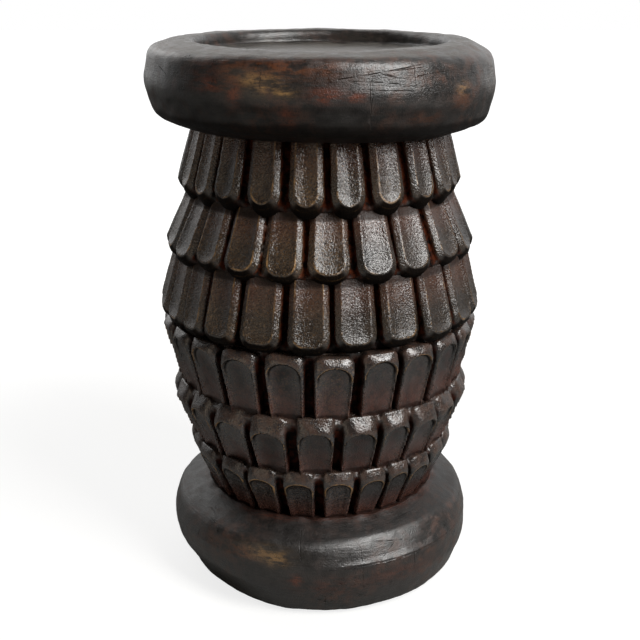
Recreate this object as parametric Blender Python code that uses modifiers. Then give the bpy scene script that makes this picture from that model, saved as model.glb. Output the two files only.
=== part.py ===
"""A carved wooden drum stool: a rolled seat rim and a rolled base with six tiers of scales between them.

The stool stands on z = 0 with its axis on z and its front towards -y. The heart of the log runs
through every ring. The three upper tiers of scales hang down and the three lower tiers stand up, so
that the free ends of both halves meet at the waist. Lengths are in metres and angles in degrees.
"""

import math
from dataclasses import dataclass

import bmesh
import bpy

# The fits between pieces
JOINT_GAP = 0.0003

# The heart of the log
CORE_RADIUS = 0.060

# The rolled base ring
BASE_HEIGHT = 0.077
BASE_RADIUS = 0.1313
BASE_BULGE_HEIGHT = 0.038
BASE_FOOT_RADIUS = 0.108
BASE_SHOULDER_OVERHANG = 0.003

# The rolled seat rim
RIM_HEIGHT = 0.066
RIM_RADIUS = 0.139
RIM_BULGE_DROP = 0.033
RIM_TOP_OUTER_RADIUS = 0.120
RIM_TOP_INNER_RADIUS = 0.104
RIM_UNDERSIDE_OVERHANG = 0.004

# The dished seat inside the rim
DISH_RADIUS = 0.0945
DISH_DEPTH = 0.014
DISH_FLAT_RADIUS = 0.084
DISH_COVE_RISE = 0.003

# The scales: their widths are measured at the free end of each tier
GROOVE_DEPTH = 0.008
WALL_LEAN = 0.0008
EDGE_BEVEL_WIDTH = 0.0026
EDGE_BEVEL_DROP = 0.0020
ROOT_STEP = 0.001
WAIST_FLOOR_RADIUS = 0.1275

# How far a scale's foot reaches into its ring, and stops short of the ring's ends
SCALE_ROOTING = 0.0015
SCALE_END_MARGIN = 0.0006

# How finely round shapes are cut
RING_SIDES = 48
TIER_SIDES = 30
BULGE_STEPS = 6
LIP_STEPS = 3
COVE_STEPS = 2
SCALE_ARC_STEPS = 6
BULGE_FULLNESS = 2.1
SCALE_ARC_FULLNESS = 2.5


@dataclass(frozen=True)
class Tier:
    """One ring of scales. Its scales point down if it hangs, and up if it stands."""

    name: str
    hangs: bool
    height: float
    root_radius: float
    tip_radius: float
    tip_bevel: float
    tip_round: float
    groove_width: float
    scale_count: int
    first_scale_angle: float


STANDING_LOWER = Tier(
    name="standing_scales_lower",
    hangs=False,
    height=0.0470,
    root_radius=0.0980,
    tip_radius=0.1146,
    tip_bevel=0.0098,
    tip_round=0.006,
    groove_width=0.0055,
    scale_count=24,
    first_scale_angle=7.5,
)
STANDING_MIDDLE = Tier(
    name="standing_scales_middle",
    hangs=False,
    height=0.0510,
    root_radius=0.1122,
    tip_radius=0.1267,
    tip_bevel=0.0135,
    tip_round=0.006,
    groove_width=0.0045,
    scale_count=23,
    first_scale_angle=-1.5,
)
STANDING_UPPER = Tier(
    name="standing_scales_upper",
    hangs=False,
    height=0.0532,
    root_radius=0.1212,
    tip_radius=0.1325,
    tip_bevel=0.0080,
    tip_round=0.010,
    groove_width=0.0040,
    scale_count=24,
    first_scale_angle=5.0,
)
HANGING_LOWER = Tier(
    name="hanging_scales_lower",
    hangs=True,
    height=0.0521,
    root_radius=0.1220,
    tip_radius=0.1339,
    tip_bevel=0.0091,
    tip_round=0.008,
    groove_width=0.0020,
    scale_count=24,
    first_scale_angle=-2.8,
)
HANGING_MIDDLE = Tier(
    name="hanging_scales_middle",
    hangs=True,
    height=0.0474,
    root_radius=0.1100,
    tip_radius=0.1267,
    tip_bevel=0.0096,
    tip_round=0.008,
    groove_width=0.0020,
    scale_count=23,
    first_scale_angle=3.5,
)
HANGING_UPPER = Tier(
    name="hanging_scales_upper",
    hangs=True,
    height=0.0560,
    root_radius=0.1034,
    tip_radius=0.1158,
    tip_bevel=0.0094,
    tip_round=0.011,
    groove_width=0.0020,
    scale_count=24,
    first_scale_angle=-5.0,
)

# From the base up
TIERS = (STANDING_LOWER, STANDING_MIDDLE, STANDING_UPPER, HANGING_LOWER, HANGING_MIDDLE, HANGING_UPPER)

# Colours, as linear red, green and blue
RING_COLOUR = (0.022, 0.018, 0.016)
SCALE_COLOUR = (0.030, 0.020, 0.015)
HEARTWOOD_COLOUR = (0.060, 0.028, 0.016)
WOOD_ROUGHNESS = 0.38


def clear_scene():
    """Empties the scene."""
    for thing in list(bpy.data.objects):
        bpy.data.objects.remove(thing)


def new_collection(name):
    """A collection of that name in the scene."""
    collection = bpy.data.collections.new(name)
    bpy.context.scene.collection.children.link(collection)
    return collection


def wood(name, colour):
    """A waxed dark wood of that colour."""
    material = bpy.data.materials.new(name)
    material.use_nodes = True
    shader = material.node_tree.nodes["Principled BSDF"]
    shader.inputs["Base Color"].default_value = (*colour, 1.0)
    shader.inputs["Roughness"].default_value = WOOD_ROUGHNESS
    shader.inputs["Metallic"].default_value = 0.0
    return material


def new_piece(name, mesh, material, stool):
    """An object of that mesh, in the stool's collection and under its empty."""
    piece = bpy.data.objects.new(name, mesh)
    piece.data.materials.append(material)
    piece.parent = stool
    bpy.data.collections["carved_stool"].objects.link(piece)
    return piece


def quarter_bulge(centre, reach, steps, start, end, fullness=BULGE_FULLNESS):
    """Points of a rounded quarter about centre, from one angle to another, without the first point."""
    points = []
    for step in range(1, steps + 1):
        angle = math.radians(start + (end - start) * step / steps)
        across = math.copysign(abs(math.cos(angle)) ** (2 / fullness), math.cos(angle))
        up = math.copysign(abs(math.sin(angle)) ** (2 / fullness), math.sin(angle))
        points.append((centre[0] + reach[0] * across, centre[1] + reach[1] * up))
    return points


def turned(name, profile, closed, material, stool, sides=RING_SIDES):
    """A solid turned on the z axis. The profile is (radius, z), from the top down its outer side."""
    mesh = bpy.data.meshes.new(name)
    edges = [(i, i + 1) for i in range(len(profile) - 1)]
    if closed:
        edges.append((len(profile) - 1, 0))
    mesh.from_pydata([(radius, 0.0, z) for radius, z in profile], edges, [])
    piece = new_piece(name, mesh, material, stool)
    screw = piece.modifiers.new("turn", "SCREW")
    screw.steps = sides
    screw.render_steps = sides
    screw.use_merge_vertices = True
    screw.merge_threshold = 0.00001
    screw.use_smooth_shade = True
    return piece


def core_bore(sides):
    """The radius at the corners of a bore of that many sides, whose flats clear the heart of the log."""
    return (CORE_RADIUS + JOINT_GAP) / math.cos(math.pi / sides)


def make_core(top, material, stool):
    """The heart of the log, from the floor to the top of the highest tier."""
    bpy.ops.mesh.primitive_cylinder_add(
        vertices=RING_SIDES, radius=CORE_RADIUS, depth=top, location=(0, 0, top / 2)
    )
    core = bpy.context.object
    mesh = core.data
    mesh.transform(core.matrix_world)
    bpy.data.objects.remove(core)
    mesh.name = "log_core"
    mesh.shade_smooth()
    mesh.set_sharp_from_angle(angle=math.radians(40))
    return new_piece("log_core", mesh, material, stool)


def make_base(material, stool):
    """The base ring: flat below, with a rounded side, and a bore round the heart of the log."""
    bore = core_bore(RING_SIDES)
    shoulder = STANDING_LOWER.root_radius + BASE_SHOULDER_OVERHANG
    profile = [(bore, BASE_HEIGHT), (shoulder, BASE_HEIGHT)]
    above = (BASE_RADIUS - shoulder, BASE_HEIGHT - BASE_BULGE_HEIGHT)
    below = (BASE_RADIUS - BASE_FOOT_RADIUS, BASE_BULGE_HEIGHT)
    profile += quarter_bulge((shoulder, BASE_BULGE_HEIGHT), above, BULGE_STEPS, 90, 0)
    profile += quarter_bulge((BASE_FOOT_RADIUS, BASE_BULGE_HEIGHT), below, BULGE_STEPS, 0, -90)
    profile.append((bore, 0.0))
    return turned("base_ring", profile, True, material, stool)


def make_rim(bottom, material, stool):
    """The seat rim: a rolled ring on the highest tier, with a bore round the dished seat."""
    top = bottom + RIM_HEIGHT
    bulge = top - RIM_BULGE_DROP
    wall_foot = top - DISH_DEPTH + DISH_COVE_RISE
    bore = DISH_RADIUS + JOINT_GAP
    underside = HANGING_UPPER.root_radius + RIM_UNDERSIDE_OVERHANG
    crest = (RIM_RADIUS - RIM_TOP_OUTER_RADIUS, RIM_BULGE_DROP)
    belly = (RIM_RADIUS - underside, bulge - bottom)
    lip = (RIM_TOP_INNER_RADIUS - bore, top - wall_foot)
    profile = [(bore, wall_foot)]
    profile += quarter_bulge((RIM_TOP_INNER_RADIUS, wall_foot), lip, LIP_STEPS, 180, 90)
    profile.append((RIM_TOP_OUTER_RADIUS, top))
    profile += quarter_bulge((RIM_TOP_OUTER_RADIUS, bulge), crest, BULGE_STEPS, 90, 0)
    profile += quarter_bulge((underside, bulge), belly, BULGE_STEPS, 0, -90)
    profile.append((bore, bottom))
    return turned("seat_rim", profile, True, material, stool)


def make_dish(bottom, material, stool):
    """The dished seat: a flat floor whose edge sweeps up in a cove to the foot of the rim's wall."""
    floor = bottom + RIM_HEIGHT - DISH_DEPTH
    cove = (DISH_RADIUS - DISH_FLAT_RADIUS, DISH_COVE_RISE)
    profile = [(0.0, floor), (DISH_FLAT_RADIUS, floor)]
    centre = (DISH_FLAT_RADIUS, floor + DISH_COVE_RISE)
    profile += quarter_bulge(centre, cove, COVE_STEPS, -90, 0)
    profile += [(DISH_RADIUS, bottom), (0.0, bottom)]
    return turned("seat_dish", profile, False, material, stool)


def at_share(first, last, share):
    """The value that lies that share of the way from first to last."""
    return first + (last - first) * share


class TierShape:
    """The surfaces of one tier in its place: the floor of its grooves, and its scales."""

    def __init__(self, tier, bottom, tip_floor_radius):
        self.tier = tier
        self.bottom = bottom
        self.top = bottom + tier.height - JOINT_GAP
        self.root_z = self.top if tier.hangs else self.bottom
        self.end_z = self.bottom if tier.hangs else self.top
        self.towards_tip = -1 if tier.hangs else 1
        self.tip_z = self.end_z - self.towards_tip * tier.tip_bevel
        self.root_floor_radius = tier.root_radius - GROOVE_DEPTH
        self.tip_floor_radius = tip_floor_radius

    def floor_radius(self, z):
        """The radius of the bottom of the grooves at that height."""
        share = (z - self.root_z) / (self.end_z - self.root_z)
        return at_share(self.root_floor_radius, self.tip_floor_radius, share)

    def face_radius(self, z):
        """The radius of the middle of a scale's face at that height."""
        share = (z - self.root_z) / (self.tip_z - self.root_z)
        return at_share(self.tier.root_radius, self.tier.tip_radius, share)

    def outline(self, side_inset, end_z):
        """A scale's outline as (angle from its middle, z): straight sides and a rounded free end."""
        half_angle = math.pi / self.tier.scale_count - side_inset / self.tier.tip_radius
        root = self.root_z + self.towards_tip * SCALE_END_MARGIN
        spring = self.tip_z - self.towards_tip * self.tier.tip_round
        reach = (half_angle, end_z - spring)
        arc = quarter_bulge((0.0, spring), reach, SCALE_ARC_STEPS, 180, 0, SCALE_ARC_FULLNESS)
        return [(-half_angle, root), (-half_angle, spring), *arc, (half_angle, root)]

    def scale_sections(self):
        """The foot, shoulder and face of a scale, as points of (angle from its middle, radius, z)."""
        foot_inset = self.tier.groove_width / 2
        shoulder_inset = foot_inset + WALL_LEAN
        face_inset = shoulder_inset + EDGE_BEVEL_WIDTH
        foot_end = self.end_z - self.towards_tip * SCALE_END_MARGIN
        shoulder_end = self.tip_z + self.towards_tip * EDGE_BEVEL_WIDTH
        foot = [
            (angle, self.floor_radius(z) - SCALE_ROOTING, z)
            for angle, z in self.outline(foot_inset, foot_end)
        ]
        shoulder = [
            (angle, (self.face_radius(z) - EDGE_BEVEL_DROP) / math.cos(angle), z)
            for angle, z in self.outline(shoulder_inset, shoulder_end)
        ]
        face = [
            (angle, self.face_radius(z) / math.cos(angle), z)
            for angle, z in self.outline(face_inset, self.tip_z)
        ]
        return foot, shoulder, face


def loft(shape, sections):
    """Closes a solid through outlines that all have as many points, from the first to the last."""
    rings = [[shape.verts.new(point) for point in section] for section in sections]
    shape.faces.new(rings[0])
    shape.faces.new(rings[-1])
    for lower, upper in zip(rings, rings[1:]):
        for i in range(len(lower)):
            j = (i + 1) % len(lower)
            shape.faces.new((lower[i], lower[j], upper[j], upper[i]))


def around(points, turn):
    """Points of (angle, radius, z) turned about the axis, with angle 0 at the front, in x, y and z."""
    return [
        (radius * math.sin(angle + turn), -radius * math.cos(angle + turn), z)
        for angle, radius, z in points
    ]


def make_scales(shape):
    """All the scales of a tier, to be joined to the ring that they are carved on."""
    tier = shape.tier
    solid = bmesh.new()
    sections = shape.scale_sections()
    for number in range(tier.scale_count):
        turn = math.radians(tier.first_scale_angle) + math.tau * number / tier.scale_count
        loft(solid, [around(section, turn) for section in sections])
    bmesh.ops.recalc_face_normals(solid, faces=solid.faces)
    mesh = bpy.data.meshes.new(tier.name + "_relief")
    solid.to_mesh(mesh)
    solid.free()
    scales = bpy.data.objects.new(tier.name + "_relief", mesh)
    scales.hide_render = True
    scales.display_type = "WIRE"
    bpy.data.collections["reliefs"].objects.link(scales)
    return scales


def make_tier(shape, material, stool):
    """A ring on the heart of the log, with its scales joined to it."""
    bore = core_bore(TIER_SIDES)
    profile = [
        (bore, shape.top),
        (shape.floor_radius(shape.top), shape.top),
        (shape.floor_radius(shape.bottom), shape.bottom),
        (bore, shape.bottom),
    ]
    ring = turned(shape.tier.name, profile, True, material, stool, TIER_SIDES)
    join = ring.modifiers.new("scales", "BOOLEAN")
    join.operation = "UNION"
    join.object = make_scales(shape)
    return ring


def tip_floor_radius(number):
    """The groove floor at a tier's free end: just inside the next tier's roots, or the waist's radius."""
    tier = TIERS[number]
    if tier in (STANDING_UPPER, HANGING_LOWER):
        return WAIST_FLOOR_RADIUS
    beyond = TIERS[number - 1] if tier.hangs else TIERS[number + 1]
    return beyond.root_radius - ROOT_STEP


def main():
    """Builds the stool from the floor up."""
    clear_scene()
    pieces = new_collection("carved_stool")
    new_collection("reliefs")
    stool = bpy.data.objects.new("stool", None)
    pieces.objects.link(stool)
    ring_wood = wood("blackened_wood", RING_COLOUR)
    scale_wood = wood("brown_black_wood", SCALE_COLOUR)
    heart_wood = wood("heartwood", HEARTWOOD_COLOUR)

    make_base(ring_wood, stool)
    bottom = BASE_HEIGHT + JOINT_GAP
    for number, tier in enumerate(TIERS):
        make_tier(TierShape(tier, bottom, tip_floor_radius(number)), scale_wood, stool)
        bottom += tier.height
    make_core(bottom - JOINT_GAP, heart_wood, stool)
    make_rim(bottom, ring_wood, stool)
    make_dish(bottom, ring_wood, stool)


main()
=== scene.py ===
"""Dresses the carved drum stool: one log, cut with adze and knife, blackened, waxed and worn by hands.

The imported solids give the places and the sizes. The seat, the base and each tier of scales are modelled
again as carved wood in the same places, and every piece rides on the stool's one body.
"""

from __future__ import annotations

import logging
import math
import random
from dataclasses import dataclass, field
from enum import Enum

import bpy
import numpy as np
from mathutils import Matrix, Vector

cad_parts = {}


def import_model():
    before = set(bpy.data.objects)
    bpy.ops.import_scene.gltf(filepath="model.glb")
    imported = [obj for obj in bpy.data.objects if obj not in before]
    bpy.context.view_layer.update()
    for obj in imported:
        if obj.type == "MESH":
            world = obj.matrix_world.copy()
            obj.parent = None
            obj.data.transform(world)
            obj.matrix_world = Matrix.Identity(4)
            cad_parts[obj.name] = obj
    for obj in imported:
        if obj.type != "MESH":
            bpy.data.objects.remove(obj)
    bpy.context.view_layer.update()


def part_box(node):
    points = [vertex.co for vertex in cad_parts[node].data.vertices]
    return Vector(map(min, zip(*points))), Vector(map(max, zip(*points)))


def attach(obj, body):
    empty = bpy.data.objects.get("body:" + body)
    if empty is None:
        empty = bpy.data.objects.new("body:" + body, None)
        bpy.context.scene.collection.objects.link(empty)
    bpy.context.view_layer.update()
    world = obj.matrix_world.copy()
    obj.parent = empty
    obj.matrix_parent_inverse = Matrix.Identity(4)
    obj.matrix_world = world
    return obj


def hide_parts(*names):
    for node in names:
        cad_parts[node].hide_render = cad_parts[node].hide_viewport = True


log = logging.getLogger("carved_stool")

BODY = "root"
WELD_DISTANCE = 0.00001

Socket = bpy.types.NodeSocket
Piece = bpy.types.Object
Profile = list[tuple[float, float]]
Corners = tuple[tuple[float, float, float], ...]
Colour = tuple[float, float, float, float]


def paint(code: str) -> Colour:
    """Turns a colour written as on a paint chart into linear parts.

    Args:
        code: The colour, such as #3a2416.

    Returns:
        Its linear red, green and blue, and an alpha of 1.
    """
    parts = [int(code[i : i + 2], 16) / 255 for i in (1, 3, 5)]
    linear = [p / 12.92 if p <= 0.04045 else ((p + 0.055) / 1.055) ** 2.4 for p in parts]
    return (*linear, 1.0)


def ease(values: np.ndarray, start: float, end: float) -> np.ndarray:
    """Runs smoothly from 0 at start to 1 at end, and stays level outside them."""
    share = np.clip((values - start) / (end - start), 0.0, 1.0)
    return share * share * (3.0 - 2.0 * share)


def around_axis(angle: float, radius: float, height: float) -> Vector:
    """Gives the point at an angle in degrees from the front, towards the right, a radius and a height."""
    turn = math.radians(angle)
    return Vector((radius * math.sin(turn), -radius * math.cos(turn), height))


def deselect_all() -> None:
    """Leaves edit mode and leaves nothing selected."""
    if bpy.context.object and bpy.context.object.mode != "OBJECT":
        bpy.ops.object.mode_set(mode="OBJECT")
    bpy.ops.object.select_all(action="DESELECT")


def activate(piece: Piece) -> None:
    """Makes a piece the only selected one, and the active one.

    Args:
        piece: The piece.
    """
    deselect_all()
    piece.select_set(True)
    bpy.context.view_layer.objects.active = piece


def finish_with(piece: Piece, kind: str, **settings: object) -> None:
    """Adds a modifier and applies it.

    Args:
        piece: The piece that takes the modifier.
        kind: The modifier's kind.
        settings: The modifier's values by name.
    """
    activate(piece)
    modifier = piece.modifiers.new(kind.lower(), kind)
    for name, value in settings.items():
        setattr(modifier, name, value)
    bpy.ops.object.modifier_apply(modifier=modifier.name)


def places(piece: Piece) -> np.ndarray:
    """Reads the places of a mesh's points.

    Args:
        piece: The piece with the mesh.

    Returns:
        The places, one row each.
    """
    values = np.empty(len(piece.data.vertices) * 3)
    piece.data.vertices.foreach_get("co", values)
    return values.reshape(-1, 3)


def move_to(piece: Piece, points: np.ndarray) -> None:
    """Sets the places of a mesh's points."""
    piece.data.vertices.foreach_set("co", points.ravel())
    piece.data.update()


def outward(piece: Piece) -> np.ndarray:
    """Reads the normals of a mesh's points.

    Args:
        piece: The piece with the mesh.

    Returns:
        The normals, one row each.
    """
    values = np.empty(len(piece.data.vertices) * 3)
    piece.data.vertex_normals.foreach_get("vector", values)
    return values.reshape(-1, 3)


def mark(piece: Piece, name: str, values: np.ndarray) -> None:
    """Writes an attribute on a mesh's points that a finish can read.

    Args:
        piece: The piece with the mesh.
        name: The attribute's name.
        values: One number, or one row of three, for each point.
    """
    if values.ndim == 1:
        layer = piece.data.attributes.new(name, "FLOAT", "POINT")
        layer.data.foreach_set("value", values.astype(np.float32))
    else:
        layer = piece.data.attributes.new(name, "FLOAT_VECTOR", "POINT")
        layer.data.foreach_set("vector", values.astype(np.float32).ravel())


def weigh(piece: Piece, name: str, chosen: np.ndarray) -> str:
    """Makes a vertex group of the chosen points.

    Args:
        piece: The piece with the points.
        name: The group's name.
        chosen: Whether each point belongs to it.

    Returns:
        The name that the group got.
    """
    group = piece.vertex_groups.new(name=name)
    group.add(np.flatnonzero(chosen).tolist(), 1.0, "REPLACE")
    return group.name


def lumps(name: str, size: float, depth: int) -> bpy.types.Texture:
    """Makes a cloudy texture for uneven carving.

    Args:
        name: The texture's name.
        size: The size of its lumps.
        depth: How many finer layers it has.

    Returns:
        The texture.
    """
    texture = bpy.data.textures.new(name, "CLOUDS")
    texture.noise_scale = size
    texture.noise_depth = depth
    return texture


def rounded_path(corners: Corners, steps: int = 10, spacing: float = 0.0025) -> Profile:
    """Draws a section from corner to corner, rounds the corners, and sets points all along it.

    Args:
        corners: Radius, height and rounding of each corner, from one end of the section to the other.
        steps: How many steps go round a corner.
        spacing: The most that two points lie apart.

    Returns:
        The points of the section.
    """
    turns = [Vector(corners[0][:2])]
    for before, here, after in zip(corners, corners[1:], corners[2:]):
        corner = Vector(here[:2])
        back = (Vector(before[:2]) - corner).normalized()
        onward = (Vector(after[:2]) - corner).normalized()
        run = here[2] / math.tan(back.angle(onward) / 2)
        for step in range(steps + 1):
            share = step / steps
            turns.append(corner + back * run * (1 - share) ** 2 + onward * run * share**2)
    turns.append(Vector(corners[-1][:2]))
    points = []
    for start, end in zip(turns, turns[1:]):
        parts = max(1, math.ceil((end - start).length / spacing))
        points += [tuple(start.lerp(end, part / parts)) for part in range(parts)]
    return [*points, tuple(turns[-1])]


def trace(name: str, path: list[Vector]) -> Piece:
    """Draws a line: one point is extruded along a path.

    Args:
        name: The new piece's name.
        path: The points that the line passes.

    Returns:
        The new piece, in edit mode, with the whole line selected.
    """
    deselect_all()
    bpy.ops.mesh.primitive_plane_add(size=WELD_DISTANCE)
    piece = bpy.context.object
    piece.name = name
    bpy.ops.object.mode_set(mode="EDIT")
    bpy.ops.mesh.select_mode(type="VERT")
    bpy.ops.mesh.select_all(action="SELECT")
    bpy.ops.mesh.merge(type="CENTER")
    bpy.ops.transform.translate(value=path[0])
    for start, end in zip(path, path[1:]):
        bpy.ops.mesh.extrude_region_move(TRANSFORM_OT_translate={"value": end - start})
    bpy.ops.mesh.select_all(action="SELECT")
    return piece


def lathe(name: str, profile: Profile, steps: int) -> Piece:
    """Turns a closed solid: a line is drawn along the profile, and then spun.

    Args:
        name: The new piece's name.
        profile: Points of radius and height, either closed or from axis to axis.
        steps: How many steps go round.

    Returns:
        The new piece, with its doubles merged and its faces outward.
    """
    piece = trace(name, [Vector((radius, 0.0, height)) for radius, height in profile])
    bpy.ops.mesh.spin(steps=steps, angle=math.tau, center=(0, 0, 0), axis=(0, 0, 1))
    bpy.ops.mesh.select_all(action="SELECT")
    bpy.ops.mesh.remove_doubles(threshold=WELD_DISTANCE)
    bpy.ops.mesh.normals_make_consistent(inside=False)
    bpy.ops.object.mode_set(mode="OBJECT")
    return piece


def loft(name: str, outlines: list[list[Vector]]) -> Piece:
    """Builds a closed solid from level to level: a filled outline is extruded and drawn to the next one.

    Args:
        name: The new piece's name.
        outlines: Closed outlines with the same number of points.

    Returns:
        The new piece, with its faces outward.
    """
    piece = trace(name, outlines[0])
    bpy.ops.mesh.edge_face_add()
    for outline, following in zip(outlines, outlines[1:]):
        bpy.ops.mesh.extrude_region_move(TRANSFORM_OT_translate={"value": (0, 0, 0)})
        bpy.ops.object.mode_set(mode="OBJECT")
        for point in piece.data.vertices:
            if point.select:
                apart = [(place - point.co).length_squared for place in outline]
                point.co = following[apart.index(min(apart))]
        bpy.ops.object.mode_set(mode="EDIT")
    bpy.ops.mesh.select_all(action="SELECT")
    bpy.ops.mesh.normals_make_consistent(inside=False)
    bpy.ops.object.mode_set(mode="OBJECT")
    return piece


class NodeSketch:
    """Lays out one material's nodes, with a short call for each kind that the finishes need."""

    def __init__(self, name: str) -> None:
        """Starts a material with a Principled shader.

        Args:
            name: The material's name.
        """
        self.material = bpy.data.materials.new(name)
        self.material.use_nodes = True
        self.tree = self.material.node_tree
        self.shader = self.tree.nodes["Principled BSDF"]

    def node(self, kind: str, **settings: object) -> bpy.types.Node:
        """Adds a node.

        Args:
            kind: The node's kind.
            settings: Its settings by name.

        Returns:
            The node.
        """
        made = self.tree.nodes.new(kind)
        for name, value in settings.items():
            setattr(made, name, value)
        return made

    def feed(self, target: Socket, value: Socket | float | Colour) -> None:
        """Links a socket to a target, or sets the target's own value.

        Args:
            target: The socket that is fed.
            value: The socket, number or colour that feeds it.
        """
        if isinstance(value, bpy.types.NodeSocket):
            self.tree.links.new(value, target)
        else:
            target.default_value = value

    def place(self) -> Socket:
        """Gives the piece's own coordinates."""
        return self.node("ShaderNodeTexCoord").outputs["Object"]

    def marked(self, name: str) -> Socket:
        """Gives a number that was written on the piece's points."""
        return self.node("ShaderNodeAttribute", attribute_name=name).outputs["Fac"]

    def flow(self, name: str) -> Socket:
        """Gives a vector that was written on the piece's points."""
        return self.node("ShaderNodeAttribute", attribute_name=name).outputs["Vector"]

    def stretched(
        self, vector: Socket, scale: tuple[float, float, float], turn: tuple[float, float, float] = (0, 0, 0)
    ) -> Socket:
        """Turns a coordinate, and scales it differently along each axis.

        Args:
            vector: The coordinate.
            scale: How much it is scaled along each axis.
            turn: The turn about each axis, in degrees.

        Returns:
            The new coordinate.
        """
        mapping = self.node("ShaderNodeMapping", vector_type="TEXTURE")
        self.feed(mapping.inputs["Vector"], vector)
        mapping.inputs["Rotation"].default_value = tuple(math.radians(angle) for angle in turn)
        mapping.inputs["Scale"].default_value = tuple(1.0 / size for size in scale)
        return mapping.outputs["Vector"]

    def noise(self, vector: Socket, scale: float, detail: float = 4.0, roughness: float = 0.55) -> Socket:
        """Makes clouds.

        Args:
            vector: The coordinate.
            scale: How close the clouds lie.
            detail: How many finer layers they have.
            roughness: How strong the finer layers are.

        Returns:
            A number between 0 and 1.
        """
        made = self.node("ShaderNodeTexNoise")
        self.feed(made.inputs["Vector"], vector)
        made.inputs["Scale"].default_value = scale
        made.inputs["Detail"].default_value = detail
        made.inputs["Roughness"].default_value = roughness
        return made.outputs["Fac"]

    def spread(
        self, value: Socket, low: float, high: float, to_low: float = 0.0, to_high: float = 1.0
    ) -> Socket:
        """Maps a number smoothly from one range to another.

        Args:
            value: The number.
            low: Where its range starts.
            high: Where its range ends.
            to_low: What it becomes at the start.
            to_high: What it becomes at the end.

        Returns:
            The mapped number.
        """
        made = self.node("ShaderNodeMapRange", interpolation_type="SMOOTHSTEP")
        ends = {"From Min": low, "From Max": high, "To Min": to_low, "To Max": to_high}
        for name, number in ends.items():
            made.inputs[name].default_value = number
        self.feed(made.inputs["Value"], value)
        return made.outputs["Result"]

    def work(self, operation: str, first: Socket | float, second: Socket | float) -> Socket:
        """Adds, multiplies or otherwise works on two numbers.

        Args:
            operation: What is done.
            first: The first number.
            second: The second number.

        Returns:
            The result.
        """
        made = self.node("ShaderNodeMath", operation=operation)
        self.feed(made.inputs[0], first)
        self.feed(made.inputs[1], second)
        return made.outputs["Value"]

    def both(self, first: Socket | float, second: Socket | float) -> Socket:
        """Multiplies two numbers."""
        return self.work("MULTIPLY", first, second)

    def hairlines(self, vector: Socket, width: float) -> Socket:
        """Draws thin lines where a cloudy number passes its middle.

        Args:
            vector: The coordinate.
            width: The lines' width, as a part of the clouds' range.

        Returns:
            1 on the lines and 0 beside them.
        """
        cloud = self.noise(vector, 1.0, 2.0, 0.5)
        off = self.work("MAXIMUM", self.work("SUBTRACT", cloud, 0.5), self.work("SUBTRACT", 0.5, cloud))
        return self.spread(off, 0.0, width, 1.0, 0.0)

    def vector(
        self, operation: str, first: Socket, second: tuple[float, float, float] | Socket
    ) -> bpy.types.Node:
        """Works on two vectors.

        Args:
            operation: What is done.
            first: The first vector.
            second: The second vector.

        Returns:
            The node, whose outputs hold the result.
        """
        made = self.node("ShaderNodeVectorMath", operation=operation)
        self.feed(made.inputs[0], first)
        self.feed(made.inputs[1], second)
        return made

    def line(self, skin: Socket, start: Vector, end: Vector, width: float) -> Socket:
        """Draws one straight thin line on a flat skin.

        Args:
            skin: The coordinate on the skin.
            start: Where the line starts.
            end: Where it ends.
            width: Its width.

        Returns:
            1 on the line and 0 beside it.
        """
        run = end - start
        from_start = self.vector("SUBTRACT", skin, tuple(start)).outputs["Vector"]
        along = self.vector("DOT_PRODUCT", from_start, tuple(run / run.length_squared)).outputs["Value"]
        share = self.work("MINIMUM", self.work("MAXIMUM", along, 0.0), 1.0)
        reached = self.node("ShaderNodeVectorMath", operation="SCALE")
        reached.inputs[0].default_value = tuple(run)
        self.feed(reached.inputs["Scale"], share)
        off = self.vector("DISTANCE", from_start, reached.outputs["Vector"]).outputs["Value"]
        return self.spread(off, 0.25 * width, width, 1.0, 0.0)

    def blend(self, share: Socket, first: Socket | Colour, second: Socket | Colour) -> Socket:
        """Goes from one colour to another.

        Args:
            share: How far it goes, from 0 to 1.
            first: The colour at 0.
            second: The colour at 1.

        Returns:
            The blended colour.
        """
        made = self.node("ShaderNodeMix", data_type="RGBA")
        self.feed(made.inputs["Factor"], share)
        for name, colour in (("A", first), ("B", second)):
            slot = next(s for s in made.inputs if s.name == name and s.type == "RGBA")
            self.feed(slot, colour)
        return next(s for s in made.outputs if s.type == "RGBA")

    def bump(self, height: Socket, strength: float, distance: float, under: Socket | None = None) -> Socket:
        """Raises the surface's normal by a height.

        Args:
            height: The height.
            strength: How strongly it shows.
            distance: How high a height of 1 is.
            under: The bump that it lies on, where there is one.

        Returns:
            The normal.
        """
        made = self.node("ShaderNodeBump")
        made.inputs["Strength"].default_value = strength
        made.inputs["Distance"].default_value = distance
        self.feed(made.inputs["Height"], height)
        if under is not None:
            self.feed(made.inputs["Normal"], under)
        return made.outputs["Normal"]

    def finish(
        self, colour: Socket, roughness: Socket, normal: Socket, specular: Socket | float = 0.5
    ) -> bpy.types.Material:
        """Feeds the shader.

        Args:
            colour: The colour.
            roughness: The roughness.
            normal: The normal.
            specular: How strong the shine is.

        Returns:
            The material.
        """
        self.feed(self.shader.inputs["Base Color"], colour)
        self.feed(self.shader.inputs["Roughness"], roughness)
        self.feed(self.shader.inputs["Normal"], normal)
        self.feed(self.shader.inputs["Specular IOR Level"], specular)
        return self.material


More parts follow.
